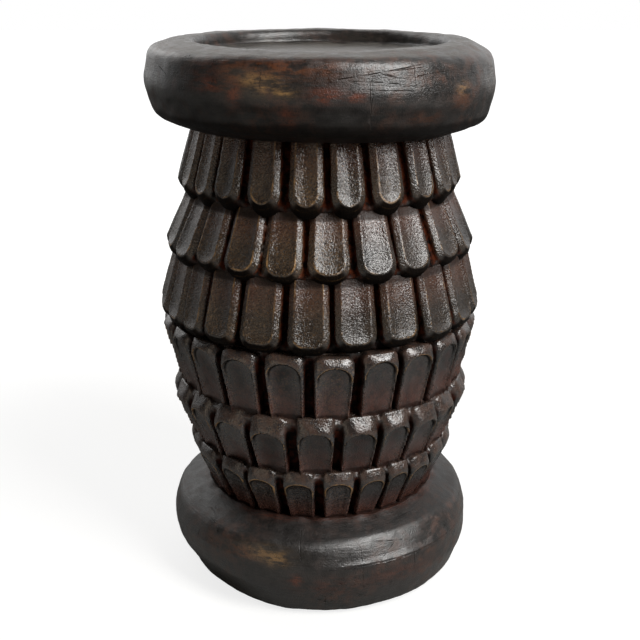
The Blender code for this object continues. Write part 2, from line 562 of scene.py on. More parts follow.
@dataclass(frozen=True)
class ScaleFinish:
    """Blackened wood of the scales: rubbed brown on the faces, golden on the edges from wear and a painted
    highlight, red patina and painted shade in the grooves, painted shade under the caps, at the roots and on
    the hanging ends, and warmer faces away from the window lamp as painted light.
    """

    soot: Colour = paint("#120f0d")
    brown: Colour = paint("#493828")
    rust: Colour = paint("#563122")
    red: Colour = paint("#6e3216")
    gold: Colour = paint("#a07a4c")
    deep: Colour = paint("#080504")
    cap: Colour = paint("#5c4534")
    specular: float = 1.0
    stipple: float = 0.9
    chip_start: float = 0.46

    def material(self, name: str, shade_the_ends: bool) -> bpy.types.Material:
        """Makes the finish of one tier.

        Args:
            name: The material's name.
            shade_the_ends: Whether the slanted free ends are painted in shade, or else rubbed brown.

        Returns:
            The material.
        """
        sketch = NodeSketch(name)
        place = sketch.place()
        broad = sketch.spread(sketch.noise(place, 16.0, 3.0), 0.38, 0.66)
        tone_and_side_light = sketch.marked("scale_tone_and_side_light")
        blotch = sketch.noise(place, 170.0, 6.0, 0.62)
        speck = sketch.noise(place, 620.0, 4.0, 0.7)
        grain = sketch.noise(sketch.stretched(place, (900.0, 900.0, 130.0)), 1.0, 3.0, 0.6)
        stipple = sketch.noise(place, 850.0, 2.0, 0.5)
        groove = sketch.marked("groove")
        edge = sketch.marked("wear_and_edge_highlight")
        to_tip = sketch.marked("toward_tip")
        end = sketch.marked("slanted_end")
        painted_shade = sketch.marked("painted_shade")

        # Brownness and gold flecks follow the scale's mark, which holds painted warm light on the side
        # turned from the window lamp as well as random differences.
        brownness = sketch.work("ADD", sketch.both(broad, 0.4), sketch.both(tone_and_side_light, 0.6))
        brownness = sketch.both(brownness, sketch.spread(blotch, 0.3, 0.62, 0.45, 1.0))
        colour = sketch.blend(brownness, self.soot, self.brown)
        flecked = sketch.both(sketch.spread(speck, 0.50, 0.66), sketch.both(tone_and_side_light, 0.32))
        colour = sketch.blend(flecked, colour, self.gold)
        root = sketch.both(sketch.spread(to_tip, 0.72, 0.18), sketch.spread(blotch, 0.35, 0.6, 0.70, 1.0))
        colour = sketch.blend(sketch.both(root, 0.5), colour, self.rust)
        colour = sketch.blend(sketch.both(sketch.spread(grain, 0.45, 0.72), 0.35), colour, self.deep)
        colour = sketch.blend(sketch.both(sketch.spread(speck, 0.48, 0.34), 0.6), colour, self.deep)
        # Painted shade on the hanging scales' blunt ends, which face down.
        if shade_the_ends:
            colour = sketch.blend(sketch.both(end, 0.9), colour, self.deep)
        else:
            rubbed = sketch.both(end, sketch.spread(blotch, 0.4, 0.6, 0.2, 0.9))
            colour = sketch.blend(rubbed, colour, self.cap)
        # Groove floors: red patina in patches, and near-black patches that paint the shade deep in the
        # grooves.
        red = sketch.blend(sketch.spread(blotch, 0.40, 0.60), self.deep, self.red)
        colour = sketch.blend(groove, colour, red)
        # Painted shade: near-black under the standing caps' lips, deep in the hanging grooves and at the
        # roots below the tier before.
        colour = sketch.blend(painted_shade, colour, self.deep)
        # Golden edge lines: partly wear, partly a painted highlight where the sharp edges catch the lamp.
        chipped = sketch.spread(sketch.noise(place, 60.0, 5.0, 0.7), self.chip_start, self.chip_start + 0.18)
        chipped = sketch.both(chipped, sketch.spread(tone_and_side_light, 0.0, 0.8, 0.35, 1.0))
        worn = sketch.both(sketch.spread(edge, 0.25, 0.9), chipped)
        colour = sketch.blend(worn, colour, self.gold)

        hollow = sketch.work("MAXIMUM", groove, painted_shade)
        if shade_the_ends:
            hollow = sketch.work("MAXIMUM", hollow, end)
        matt = sketch.spread(blotch, 0.25, 0.75, 0.15, 0.31)
        roughness = sketch.work("ADD", matt, sketch.both(hollow, 0.4))
        specular = sketch.spread(hollow, 0.0, 1.0, self.specular, 0.06)

        normal = sketch.bump(stipple, self.stipple, 0.0007)
        normal = sketch.bump(grain, 0.25, 0.0004, normal)
        normal = sketch.bump(blotch, 0.10, 0.0012, normal)
        return sketch.finish(colour, roughness, normal, specular)


class Tint(Enum):
    """What shows where the black is rubbed off a ring, with some painted sheen and warm reflection among
    them, by the name of the mark on its points.
    """

    BROWN = "rubbed_brown"
    GOLD = "rubbed_gold_and_warm_glow"
    RUST = "rubbed_rust"
    PALE = "scuffed_pale_and_sheen"


@dataclass(frozen=True)
class Scratch:
    """A straight scratch on a ring's outer side.

    Attributes:
        start: Where it starts: degrees from the front towards the right, and height.
        end: Where it ends, in the same way.
        width: Its width.
    """

    start: tuple[float, float]
    end: tuple[float, float]
    width: float = 0.0005


@dataclass(frozen=True)
class RollFinish:
    """Blackened wood of the rolled rings: cut by hand, scratched, rubbed brown where held, pale on top from
    dust and a painted sheen, and painted shade underneath.
    """

    soot: Colour = paint("#1b1816")
    ash: Colour = paint("#302c2a")
    brown: Colour = paint("#6a3a1c")
    gold: Colour = paint("#a27c4c")
    rust: Colour = paint("#6e3318")
    deep: Colour = paint("#0a0706")
    raw: Colour = paint("#4a3222")
    # The pale top's colour: partly dust, partly a painted sheen of the bright room behind.
    dust: Colour = paint("#5e5a54")
    # Pale scuffs, which also paint the sheen at the ring's sides and inside the dish.
    scuff_and_sheen: Colour = paint("#7a756e")
    specular: float = 0.95

    def material(self, name: str, scratches: tuple[Scratch, ...], radius: float) -> bpy.types.Material:
        """Makes the finish of one rolled ring.

        Args:
            name: The material's name.
            scratches: The ring's scratches.
            radius: The radius at which the ring's skin was measured round about.

        Returns:
            The material.
        """
        sketch = NodeSketch(name)
        place = sketch.place()
        flow = sketch.flow("flow")
        skin = sketch.flow("skin")
        broad = sketch.spread(sketch.noise(place, 15.0, 3.0), 0.42, 0.68)
        blotch = sketch.noise(place, 120.0, 6.0, 0.66)
        speck = sketch.noise(place, 520.0, 5.0, 0.72)
        strokes = sketch.noise(sketch.stretched(flow, (55.0, 55.0, 760.0)), 1.0, 5.0, 0.65)
        grain = sketch.noise(sketch.stretched(place, (700.0, 700.0, 50.0)), 1.0, 3.0, 0.6)
        stipple = sketch.noise(place, 900.0, 2.0, 0.5)
        patchy = sketch.noise(sketch.stretched(flow, (90.0, 90.0, 260.0)), 1.0, 6.0, 0.7)
        raw_end = sketch.marked("raw_end")
        dust_and_sheen = sketch.both(sketch.marked("dust_and_sheen"), sketch.spread(speck, 0.34, 0.58, 0.30, 1.0))
        dust_and_sheen = sketch.both(dust_and_sheen, sketch.spread(patchy, 0.41, 0.57, 0.25, 1.0))
        soot_and_painted_shade = sketch.marked("soot_and_painted_shade")

        colour = sketch.blend(sketch.spread(blotch, 0.3, 0.7), self.soot, self.ash)
        colour = sketch.blend(sketch.both(sketch.spread(strokes, 0.45, 0.7), 0.5), colour, self.deep)
        warm = sketch.both(broad, sketch.spread(blotch, 0.42, 0.64, 0.0, 0.30))
        colour = sketch.blend(warm, colour, self.brown)
        shades = {Tint.BROWN: self.brown, Tint.GOLD: self.gold, Tint.RUST: self.rust, Tint.PALE: self.scuff_and_sheen}
        for tint, shade in shades.items():
            shown = sketch.both(sketch.marked(tint.value), sketch.spread(patchy, 0.40, 0.60, 0.05, 1.0))
            colour = sketch.blend(shown, colour, shade)
        colour = sketch.blend(sketch.both(sketch.spread(speck, 0.50, 0.34), 0.6), colour, self.deep)
        # Near-black on downward faces as painted shade, and on the base's top as soot.
        colour = sketch.blend(sketch.both(soot_and_painted_shade, 0.7), colour, self.deep)
        # Pale on upward faces: partly dust, partly a painted sheen.
        colour = sketch.blend(dust_and_sheen, colour, self.dust)
        scratch = sketch.hairlines(sketch.stretched(place, (16.0, 16.0, 300.0), (0.0, 17.0, 0.0)), 0.010)
        scratch = sketch.both(scratch, sketch.spread(sketch.noise(place, 24.0, 2.0), 0.55, 0.66))
        for single in scratches:
            start, end = (
                Vector((math.radians(angle) * radius, height, 0.0))
                for angle, height in (single.start, single.end)
            )
            scratch = sketch.work("MAXIMUM", scratch, sketch.line(skin, start, end, single.width))
        scratch = sketch.both(scratch, sketch.spread(sketch.noise(place, 110.0, 3.0), 0.36, 0.58, 0.25, 1.0))
        colour = sketch.blend(sketch.both(scratch, 0.6), colour, self.deep)
        rings = sketch.noise(sketch.stretched(flow, (5.0, 5.0, 330.0)), 1.0, 4.0, 0.6)
        end_grain = sketch.blend(sketch.spread(rings, 0.35, 0.65), self.raw, self.soot)
        colour = sketch.blend(raw_end, colour, end_grain)

        dull = sketch.work("MAXIMUM", sketch.both(dust_and_sheen, 0.5), soot_and_painted_shade)
        dull = sketch.work("MAXIMUM", dull, sketch.work("MAXIMUM", raw_end, scratch))
        matt = sketch.spread(blotch, 0.25, 0.75, 0.26, 0.42)
        roughness = sketch.work("ADD", matt, sketch.both(dull, 0.3))
        specular = sketch.spread(dull, 0.0, 1.0, self.specular, 0.12)

        normal = sketch.bump(stipple, 0.4, 0.0006)
        normal = sketch.bump(sketch.both(dust_and_sheen, patchy), 0.5, 0.0012, normal)
        normal = sketch.bump(strokes, 0.3, 0.0008, normal)
        normal = sketch.bump(sketch.work("SUBTRACT", 1.0, scratch), 0.4, 0.0004, normal)
        normal = sketch.bump(speck, 0.25, 0.0008, normal)
        normal = sketch.bump(grain, 0.15, 0.0005, normal)
        return sketch.finish(colour, roughness, normal, specular)


@dataclass(frozen=True)
class CheckFinish:
    """The dark inside of a drying crack."""

    shadow: Colour = paint("#0b0706")
    dust: Colour = paint("#2a1a12")

    def material(self, name: str) -> bpy.types.Material:
        """Makes the finish.

        Args:
            name: The material's name.

        Returns:
            The material.
        """
        sketch = NodeSketch(name)
        grit = sketch.noise(sketch.place(), 600.0, 4.0, 0.6)
        colour = sketch.blend(sketch.spread(grit, 0.4, 0.7), self.shadow, self.dust)
        return sketch.finish(colour, sketch.spread(grit, 0.3, 0.7, 0.7, 0.9), sketch.bump(grit, 0.3, 0.0005))


class Pointing(Enum):
    """Which way a tier's free ends point, as a step along the height."""

    DOWN = -1
    UP = 1


@dataclass
class ScaleTier:
    """One tier of scales, carved as one closed ring of wood round the heart of the log.

    Attributes:
        node: The solid that the tier stands for. Its box gives the tier's height.
        pointing: Which way the free ends point.
        root_radius: How far the faces' middles lie from the axis at their roots.
        tip_radius: The same at the free ends of the faces.
        end_run: The height of the slanted ends beyond the faces.
        end_corner: How far along the two corners of a face's free end are rounded.
        scale_count: How many scales go round.
        front_angles: Where the carver set the scales of the front, in degrees to the right.
        face_cuts: How the face is sunk, step by step: how far in from its edge, and how deep.
        seed: What the small differences between the scales start from.
        gap: The space between two scales' shoulders, at the free ends.
        toe_gap: The space between two scales at the bottom of the groove.
        root_narrowing: How much narrower the scales' roots are than the drum there asks.
        next_tier: The tier behind whose roots this one's free ends stand, or none at the waist.
        root_reach: How far the roots run on behind the free ends of the tier before.
        waist_radius: Where the slanted ends run out at the waist.
        waist_groove: How deep the grooves are there.
        groove_depth: How deep the grooves are at the roots.
        strip_width: The width of the slanted strips beside a face.
        strip_drop: How far the strips fall.
        corner_stretch: How much wider than long the rounding of a face's corners is.
        widest_corner: The most of half a scale's width that a corner takes up.
        end_strip: The length of a hanging scale's blunt end.
        toe_corner: How far along a standing scale's toe is rounded.
        cap_bulge: How full a standing scale's cap is.
        least_corner: The least rounding of a sunk face's corners.
        spare_depth: How much deeper than its groove a scale's foot is rooted.
        root_overlap: How far the slanted ends run in behind the next tier's roots.
        corner_steps: How many steps go round a corner.
        most_width: The most that a scale with much room is wider than the others.
        tilt_spread: How differently the scales lean, in degrees.
        roll_spread: How differently they are rolled to a side, in degrees.
        yaw_spread: How differently they are turned on the drum, in degrees.
        width_spread: How differently wide they are, as a share.
        length_spread: How differently long they are, as a share.
        carving_lumps: The size and the strength of the lumps that the knife left.
        bore_radius: The radius of the ring's inside, round the heart of the log.
        band_steps: How many steps go round the ring under the scales.
        voxel: How finely the tier is carved.
        most_triangles: How many triangles the tier may have.
        edge_line: The width of the golden line on a face's edge, which is partly wear and partly a painted
            highlight.
        end_line: The width of the same line on a hanging scale's blunt end.
        lip_shadow_line: The width of the painted shadow line under a standing scale's cap.
        lip_shadow_inset: How far in from the face's edge that painted shadow line lies.
        low: The tier's lowest height.
        high: The tier's highest height.
    """

    node: str
    pointing: Pointing
    root_radius: float
    tip_radius: float
    end_run: float
    end_corner: float
    scale_count: int
    front_angles: tuple[float, ...]
    face_cuts: tuple[tuple[float, float], ...]
    seed: int
    gap: float
    toe_gap: float
    root_narrowing: float
    next_tier: ScaleTier | None = None
    root_reach: float = 0.006
    waist_radius: float = 0.1275
    waist_groove: float = 0.007
    groove_depth: float = 0.009
    strip_width: float = 0.0044
    strip_drop: float = 0.0032
    corner_stretch: float = 1.0
    widest_corner: float = 0.97
    end_strip: float = 0.0042
    toe_corner: float = 0.0062
    cap_bulge: float = 1.35
    least_corner: float = 0.0012
    spare_depth: float = 0.003
    root_overlap: float = 0.001
    corner_steps: int = 8
    most_width: float = 1.05
    tilt_spread: float = 0.9
    roll_spread: float = 1.2
    yaw_spread: float = 0.7
    width_spread: float = 0.015
    length_spread: float = 0.016
    carving_lumps: tuple[tuple[float, float], ...] = ((0.025, 0.0011), (0.006, 0.0002))
    bore_radius: float = 0.0603
    band_steps: int = 144
    voxel: float = 0.00098
    most_triangles: int = 190000
    edge_line: float = 0.0008
    end_line: float = 0.0006
    lip_shadow_line: float = 0.0009
    lip_shadow_inset: float = 0.0014
    low: float = field(init=False)
    high: float = field(init=False)

    def __post_init__(self) -> None:
        """Reads the tier's height from its solid."""
        lowest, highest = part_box(self.node)
        self.low = lowest.z
        self.high = highest.z

    @property
    def tip_plane(self) -> float:
        """The height at which the free ends stop."""
        return self.low if self.pointing is Pointing.DOWN else self.high

    @property
    def root_height(self) -> float:
        """Where the roots start, behind the tier before."""
        root_plane = self.high if self.pointing is Pointing.DOWN else self.low
        return root_plane - self.pointing.value * self.root_reach

    @property
    def full_height(self) -> float:
        """The tier's height with its hidden roots."""
        return self.high - self.low + self.root_reach

    @property
    def lean(self) -> float:
        """How far the faces lean out from upright, in radians."""
        return math.atan2(self.tip_radius - self.root_radius, self.high - self.low - self.end_run)

    @property
    def start_radius(self) -> float:
        """How far the faces' middles lie from the axis where the hidden roots start."""
        return self.root_radius - self.root_reach * math.tan(self.lean)

    @property
    def face_length(self) -> float:
        """The length of a face from its hidden root to its free end."""
        return (self.full_height - self.end_run) / math.cos(self.lean)

    @property
    def run_out_radius(self) -> float:
        """Where the slanted ends run out: just behind the next tier's roots, or at the waist."""
        if self.next_tier is None:
            return self.waist_radius
        return self.next_tier.root_radius - self.root_overlap

    @property
    def shoulder_half(self) -> float:
        """Half the width of a scale over its slanted strips, at its free end."""
        return math.pi * self.tip_radius / self.scale_count - self.gap / 2

    @property
    def face_half(self) -> float:
        """Half the width of a face at its free end."""
        return self.shoulder_half - self.strip_width

    @property
    def root_share(self) -> float:
        """How wide a scale is at its hidden root, against its free end."""
        return self.start_radius / self.tip_radius * self.root_narrowing

    def outline(self, half: float, length: float, corner: float, depth: float) -> list[Vector]:
        """Gives a closed line round the flat scale.

        Args:
            half: Half the width at the free end.
            length: How far along the free end lies.
            corner: How far along the free end's corners are rounded.
            depth: How deep below the face the line lies.

        Returns:
            The points of the line.
        """
        right = [Vector((half * self.root_share, 0.0, -depth))]
        wide = min(corner * self.corner_stretch, half * self.widest_corner)
        for step in range(self.corner_steps + 1):
            turn = math.pi / 2 * step / self.corner_steps
            along = length - corner + corner * math.sin(turn)
            right.append(Vector((half - wide + wide * math.cos(turn), along, -depth)))
        left = [Vector((-point.x, point.y, point.z)) for point in reversed(right)]
        return right + left

    def model_scale(self) -> Piece:
        """Models one scale lying flat: its root on the x axis, its free end along y, its face at z 0.

        Returns:
            The scale: a foot, a toe, a shoulder, a face between slanted strips, and the sunk face.
        """
        sine, cosine = math.sin(self.lean), math.cos(self.lean)
        inward = self.run_out_radius - self.start_radius
        toe_length = inward * sine + self.full_height * cosine
        toe_depth = self.full_height * sine - inward * cosine
        foot_depth = max(self.groove_depth, toe_depth) + self.spare_depth
        foot_length = (self.full_height - foot_depth * sine) / cosine
        toe_half = math.pi * self.run_out_radius / self.scale_count - self.toe_gap / 2
        if self.pointing is Pointing.DOWN:
            shoulder_end = self.end_strip
            shoulder_corner = toe_corner = self.end_corner + 0.75 * self.strip_width
        else:
            share = self.strip_drop / toe_depth
            shoulder_end = (toe_length - self.face_length) * min(share * self.cap_bulge, 0.85)
            toe_corner = self.toe_corner
            shoulder_corner = self.end_corner + (toe_corner - self.end_corner) * share
        levels = [
            (toe_half, foot_length, toe_corner, foot_depth),
            (toe_half, toe_length, toe_corner, toe_depth),
            (self.shoulder_half, self.face_length + shoulder_end, shoulder_corner, self.strip_drop),
            (self.face_half, self.face_length, self.end_corner, 0.0),
        ]
        half, length, corner, depth = levels[-1]
        for inset, drop in self.face_cuts:
            half -= inset
            length -= inset
            corner = max(corner - inset, self.least_corner)
            depth += drop
            levels.append((half, length, corner, depth))
        return loft(self.node + "_scale", [self.outline(*level) for level in levels])

    def angles(self) -> list[float]:
        """Sets out the scales round the drum.

        Returns:
            Every scale's angle: the front ones as they are, the others evenly between.
        """
        rest = self.scale_count - len(self.front_angles)
        last = self.front_angles[-1]
        gap = (self.front_angles[0] + 360.0 - last) / (rest + 1)
        return [*self.front_angles, *(last + gap * (i + 1) for i in range(rest))]

    def upright(self, angle: float) -> Matrix:
        """Sets a flat scale on the drum.

        Args:
            angle: Where, in degrees from the front towards the right.

        Returns:
            Its turn and place.
        """
        radial = around_axis(angle, 1.0, 0.0)
        step = self.pointing.value
        along = radial * math.sin(self.lean) + Vector((0, 0, step * math.cos(self.lean)))
        out = radial * math.cos(self.lean) - Vector((0, 0, step * math.sin(self.lean)))
        across = along.cross(out)
        turn = Matrix((across, along, out)).transposed().to_4x4()
        return Matrix.Translation(around_axis(angle, self.start_radius, self.root_height)) @ turn

    def settings(self) -> list[Matrix]:
        """Sets every scale on the drum, each a little differently, as a carver leaves them.

        Returns:
            Their turns, places and sizes.
        """
        draw = random.Random(self.seed)
        angles = self.angles()
        pitch = 360.0 / self.scale_count
        found = []
        for number, angle in enumerate(angles):
            before = (angle - angles[number - 1]) % 360.0
            after = (angles[(number + 1) % len(angles)] - angle) % 360.0
            width = min((before + after) / 2 / pitch, self.most_width)
            tilt = Matrix.Rotation(math.radians(draw.gauss(0, self.tilt_spread)), 4, "X")
            roll = Matrix.Rotation(math.radians(draw.gauss(0, self.roll_spread)), 4, "Y")
            yaw = Matrix.Rotation(math.radians(draw.gauss(0, self.yaw_spread)), 4, "Z")
            wide = width * draw.gauss(1, self.width_spread)
            size = Matrix.Diagonal((wide, draw.gauss(1, self.length_spread), 1.0, 1.0))
            found.append(self.upright(angle) @ yaw @ roll @ tilt @ size)
        return found

    def floor(self) -> Profile:
        """Draws the section of the ring under the scales, which is also the bottom of the grooves.

        Returns:
            The closed section.
        """
        section = [
            (self.bore_radius, self.root_height),
            (self.start_radius - self.groove_depth, self.root_height),
        ]
        following = self.next_tier
        if following is None:
            section.append((self.run_out_radius - self.waist_groove, self.tip_plane))
        else:
            section.append((following.start_radius + 0.0005, following.root_height))
            section.append((following.start_radius - 0.7 * following.groove_depth, self.tip_plane))
        return [*section, (self.bore_radius, self.tip_plane), section[0]]

    def carve(self, settings: list[Matrix]) -> Piece:
        """Joins the scales to a ring, and carves the whole from one piece of wood.

        Args:
            settings: Every scale's place.

        Returns:
            The tier as one closed mesh.
        """
        scale = self.model_scale()
        copies = []
        for setting in settings:
            copy = scale.copy()
            copy.data = scale.data.copy()
            copy.matrix_world = setting
            bpy.context.collection.objects.link(copy)
            copies.append(copy)
        bpy.data.objects.remove(scale)
        band = lathe(self.node + "_wood", self.floor(), self.band_steps)
        activate(band)
        for copy in copies:
            copy.select_set(True)
        bpy.ops.object.join()
        points = places(band)
        lowest, highest = sorted((self.tip_plane, self.root_height))
        points[:, 2] = np.clip(points[:, 2], lowest, highest)
        move_to(band, points)
        finish_with(band, "REMESH", mode="VOXEL", voxel_size=self.voxel, use_smooth_shade=True)
        self.thin_hidden(band)
        finish_with(band, "SMOOTH", factor=0.5, iterations=1)
        self.roughen(band)
        self.thin_flat(band)
        return band

    def thin_hidden(self, band: Piece) -> None:
        """Leaves few faces where the ring meets the core and its neighbours.

        Args:
            band: The tier.
        """
        points = places(band)
        shown = min(radius for radius, _ in self.floor() if radius > self.bore_radius) - 0.004
        hidden = np.hypot(points[:, 0], points[:, 1]) < shown
        group = weigh(band, "hidden", hidden)
        finish_with(band, "DECIMATE", ratio=1.0 - 0.93 * hidden.mean(), vertex_group=group)
        band.vertex_groups.clear()

    def roughen(self, band: Piece) -> None:
        """Makes the carving uneven, away from the flat joints above and below.

        Args:
            band: The tier.
        """
        points = places(band)
        lowest, highest = sorted((self.tip_plane, self.root_height))
        inside = (points[:, 2] > lowest + 2 * self.voxel) & (points[:, 2] < highest - 2 * self.voxel)
        outside = np.hypot(points[:, 0], points[:, 1]) > self.bore_radius * 1.4
        group = weigh(band, "carved", inside & outside)
        for size, strength in self.carving_lumps:
            finish_with(
                band,
                "DISPLACE",
                texture=lumps(f"{self.node}_lumps", size, 2),
                strength=strength,
                vertex_group=group,
                texture_coords="LOCAL",
            )
        band.vertex_groups.clear()

    def thin_flat(self, band: Piece) -> None:
        """Joins faces where the carving is flattest, until the tier has no more triangles than it may.

        Args:
            band: The carved tier.
        """
        band.data.calc_loop_triangles()
        ratio = self.most_triangles / len(band.data.loop_triangles)
        if ratio < 1:
            finish_with(band, "DECIMATE", ratio=ratio)

    def write_marks(self, band: Piece, settings: list[Matrix]) -> None:
        """Writes on the points how worn and edge-highlighted, how deep, where painted shade falls, and how
        far along their scale they are.

        Args:
            band: The carved tier.
            settings: Every scale's place.
        """
        points = places(band)
        turn = np.degrees(np.arctan2(points[:, 0], -points[:, 1]))
        apart = np.abs((turn[:, None] - np.array(self.angles())[None, :] + 180.0) % 360.0 - 180.0)
        own = np.argmin(apart, axis=1)
        back = np.array([np.array(setting.inverted()) for setting in settings])[own]
        across, along, rise = (np.einsum("nij,nj->ni", back[:, :3, :3], points) + back[:, :3, 3]).T

        straight = np.clip(along / (self.face_length - self.end_corner), 0, 1)
        half = self.face_half * (self.root_share + (1 - self.root_share) * straight)
        wide = self.end_corner * self.corner_stretch
        aside = np.maximum(np.abs(across) - half + wide, 0) / self.corner_stretch
        beyond = np.maximum(along - self.face_length + self.end_corner, 0)
        reach = np.maximum(np.hypot(aside, beyond), 1e-6)
        slope = np.maximum(np.hypot(aside / self.corner_stretch, beyond) / reach, 0.3)
        outside = (reach - self.end_corner) / slope
        past_end = ease(outside, 0.0003, 0.0013) * ease(beyond / reach, 0.45, 0.85)

        tipward = ease(along / self.face_length, 0.55, 0.85)
        # The edge lines are partly wear and partly a painted highlight; the hanging tiers carry them along
        # the whole edge.
        least = 0.75 if self.pointing is Pointing.DOWN else 0.4
        worn = np.exp(-((outside / self.edge_line) ** 2)) * ease(rise, -0.0030, -0.0014)
        worn *= least + (1 - least) * tipward
        if self.pointing is Pointing.DOWN:
            worn += 0.45 * np.exp(-(((outside - self.end_strip) / self.end_line) ** 2)) * past_end
        mark(band, "wear_and_edge_highlight", worn)
        # The groove mark carries the red patina and the painted shade of the groove floors.
        below = ease(-rise, self.strip_drop + 0.0004, self.strip_drop + 0.0030)
        mark(band, "groove", below * (1 - past_end))
        # Painted shade: a shadow line under a standing scale's cap lip, deep in a hanging tier's grooves,
        # and a contact shadow at the roots just below the tier before.
        lip_shadow = np.exp(-(((outside + self.lip_shadow_inset) / self.lip_shadow_line) ** 2)) * tipward
        painted_shade = lip_shadow if self.pointing is Pointing.UP else 0.6 * ease(below, 0.6, 1.0)
        from_root = along - self.root_reach / math.cos(self.lean)
        mark(band, "painted_shade", np.maximum(painted_shade, 0.6 * ease(-from_root, -0.0022, 0.0)))
        mark(band, "toward_tip", np.clip(along / self.face_length, 0, 1))
        mark(band, "slanted_end", past_end)
        # The scales' brownness differs at random, but those turned toward the window lamp get less and those
        # turned away get more: painted warm light on the side away from the window.
        draw = random.Random(self.seed + 1)
        tones_and_side_light = []
        for angle in self.angles():
            toward_window = 8.0 < angle < 90.0
            tones_and_side_light.append(draw.uniform(0.05, 0.4) if toward_window else draw.uniform(0.4, 1.0))
        mark(band, "scale_tone_and_side_light", np.array(tones_and_side_light)[own])

    def build(self, finish: ScaleFinish) -> Piece:
        """Carves, marks and dresses the tier, and sets it in the frame.

        Args:
            finish: The tier's finish.

        Returns:
            The finished tier.
        """
        settings = self.settings()
        band = self.carve(settings)
        self.write_marks(band, settings)
        band.data.materials.clear()
        band.data.materials.append(
            finish.material(self.node + "_finish", shade_the_ends=self.pointing is Pointing.DOWN)
        )
        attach(band, BODY)
        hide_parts(self.node)
        return band


@dataclass(frozen=True)
class Check:
    """A drying crack that runs over a ring's outer side.

    Attributes:
        angle: Where it runs, in degrees from the front towards the right.
        start: The height of its upper end.
        end: The height of its lower end.
        width: How wide it gapes in its middle.
        depth: How deep it goes in its middle.
    """

    angle: float
    start: float
    end: float
    width: float = 0.0005
    depth: float = 0.003


@dataclass(frozen=True)
class Rub:
    """A place where hands have rubbed the black off; some pale and golden ones also paint a sheen and a warm
    reflection.

    Attributes:
        angle: Its middle, in degrees from the front towards the right.
        height: Its middle's height.
        reach: Half its width along the ring.
        rise: Half its height.
        tint: What shows there.
        strength: How much of it shows, from 0 to 1.
        within: Whether it lies on the ring's inner wall, or else on its outer side.
    """

    angle: float
    height: float
    reach: float
    rise: float
    tint: Tint
    strength: float = 1.0
    within: bool = False


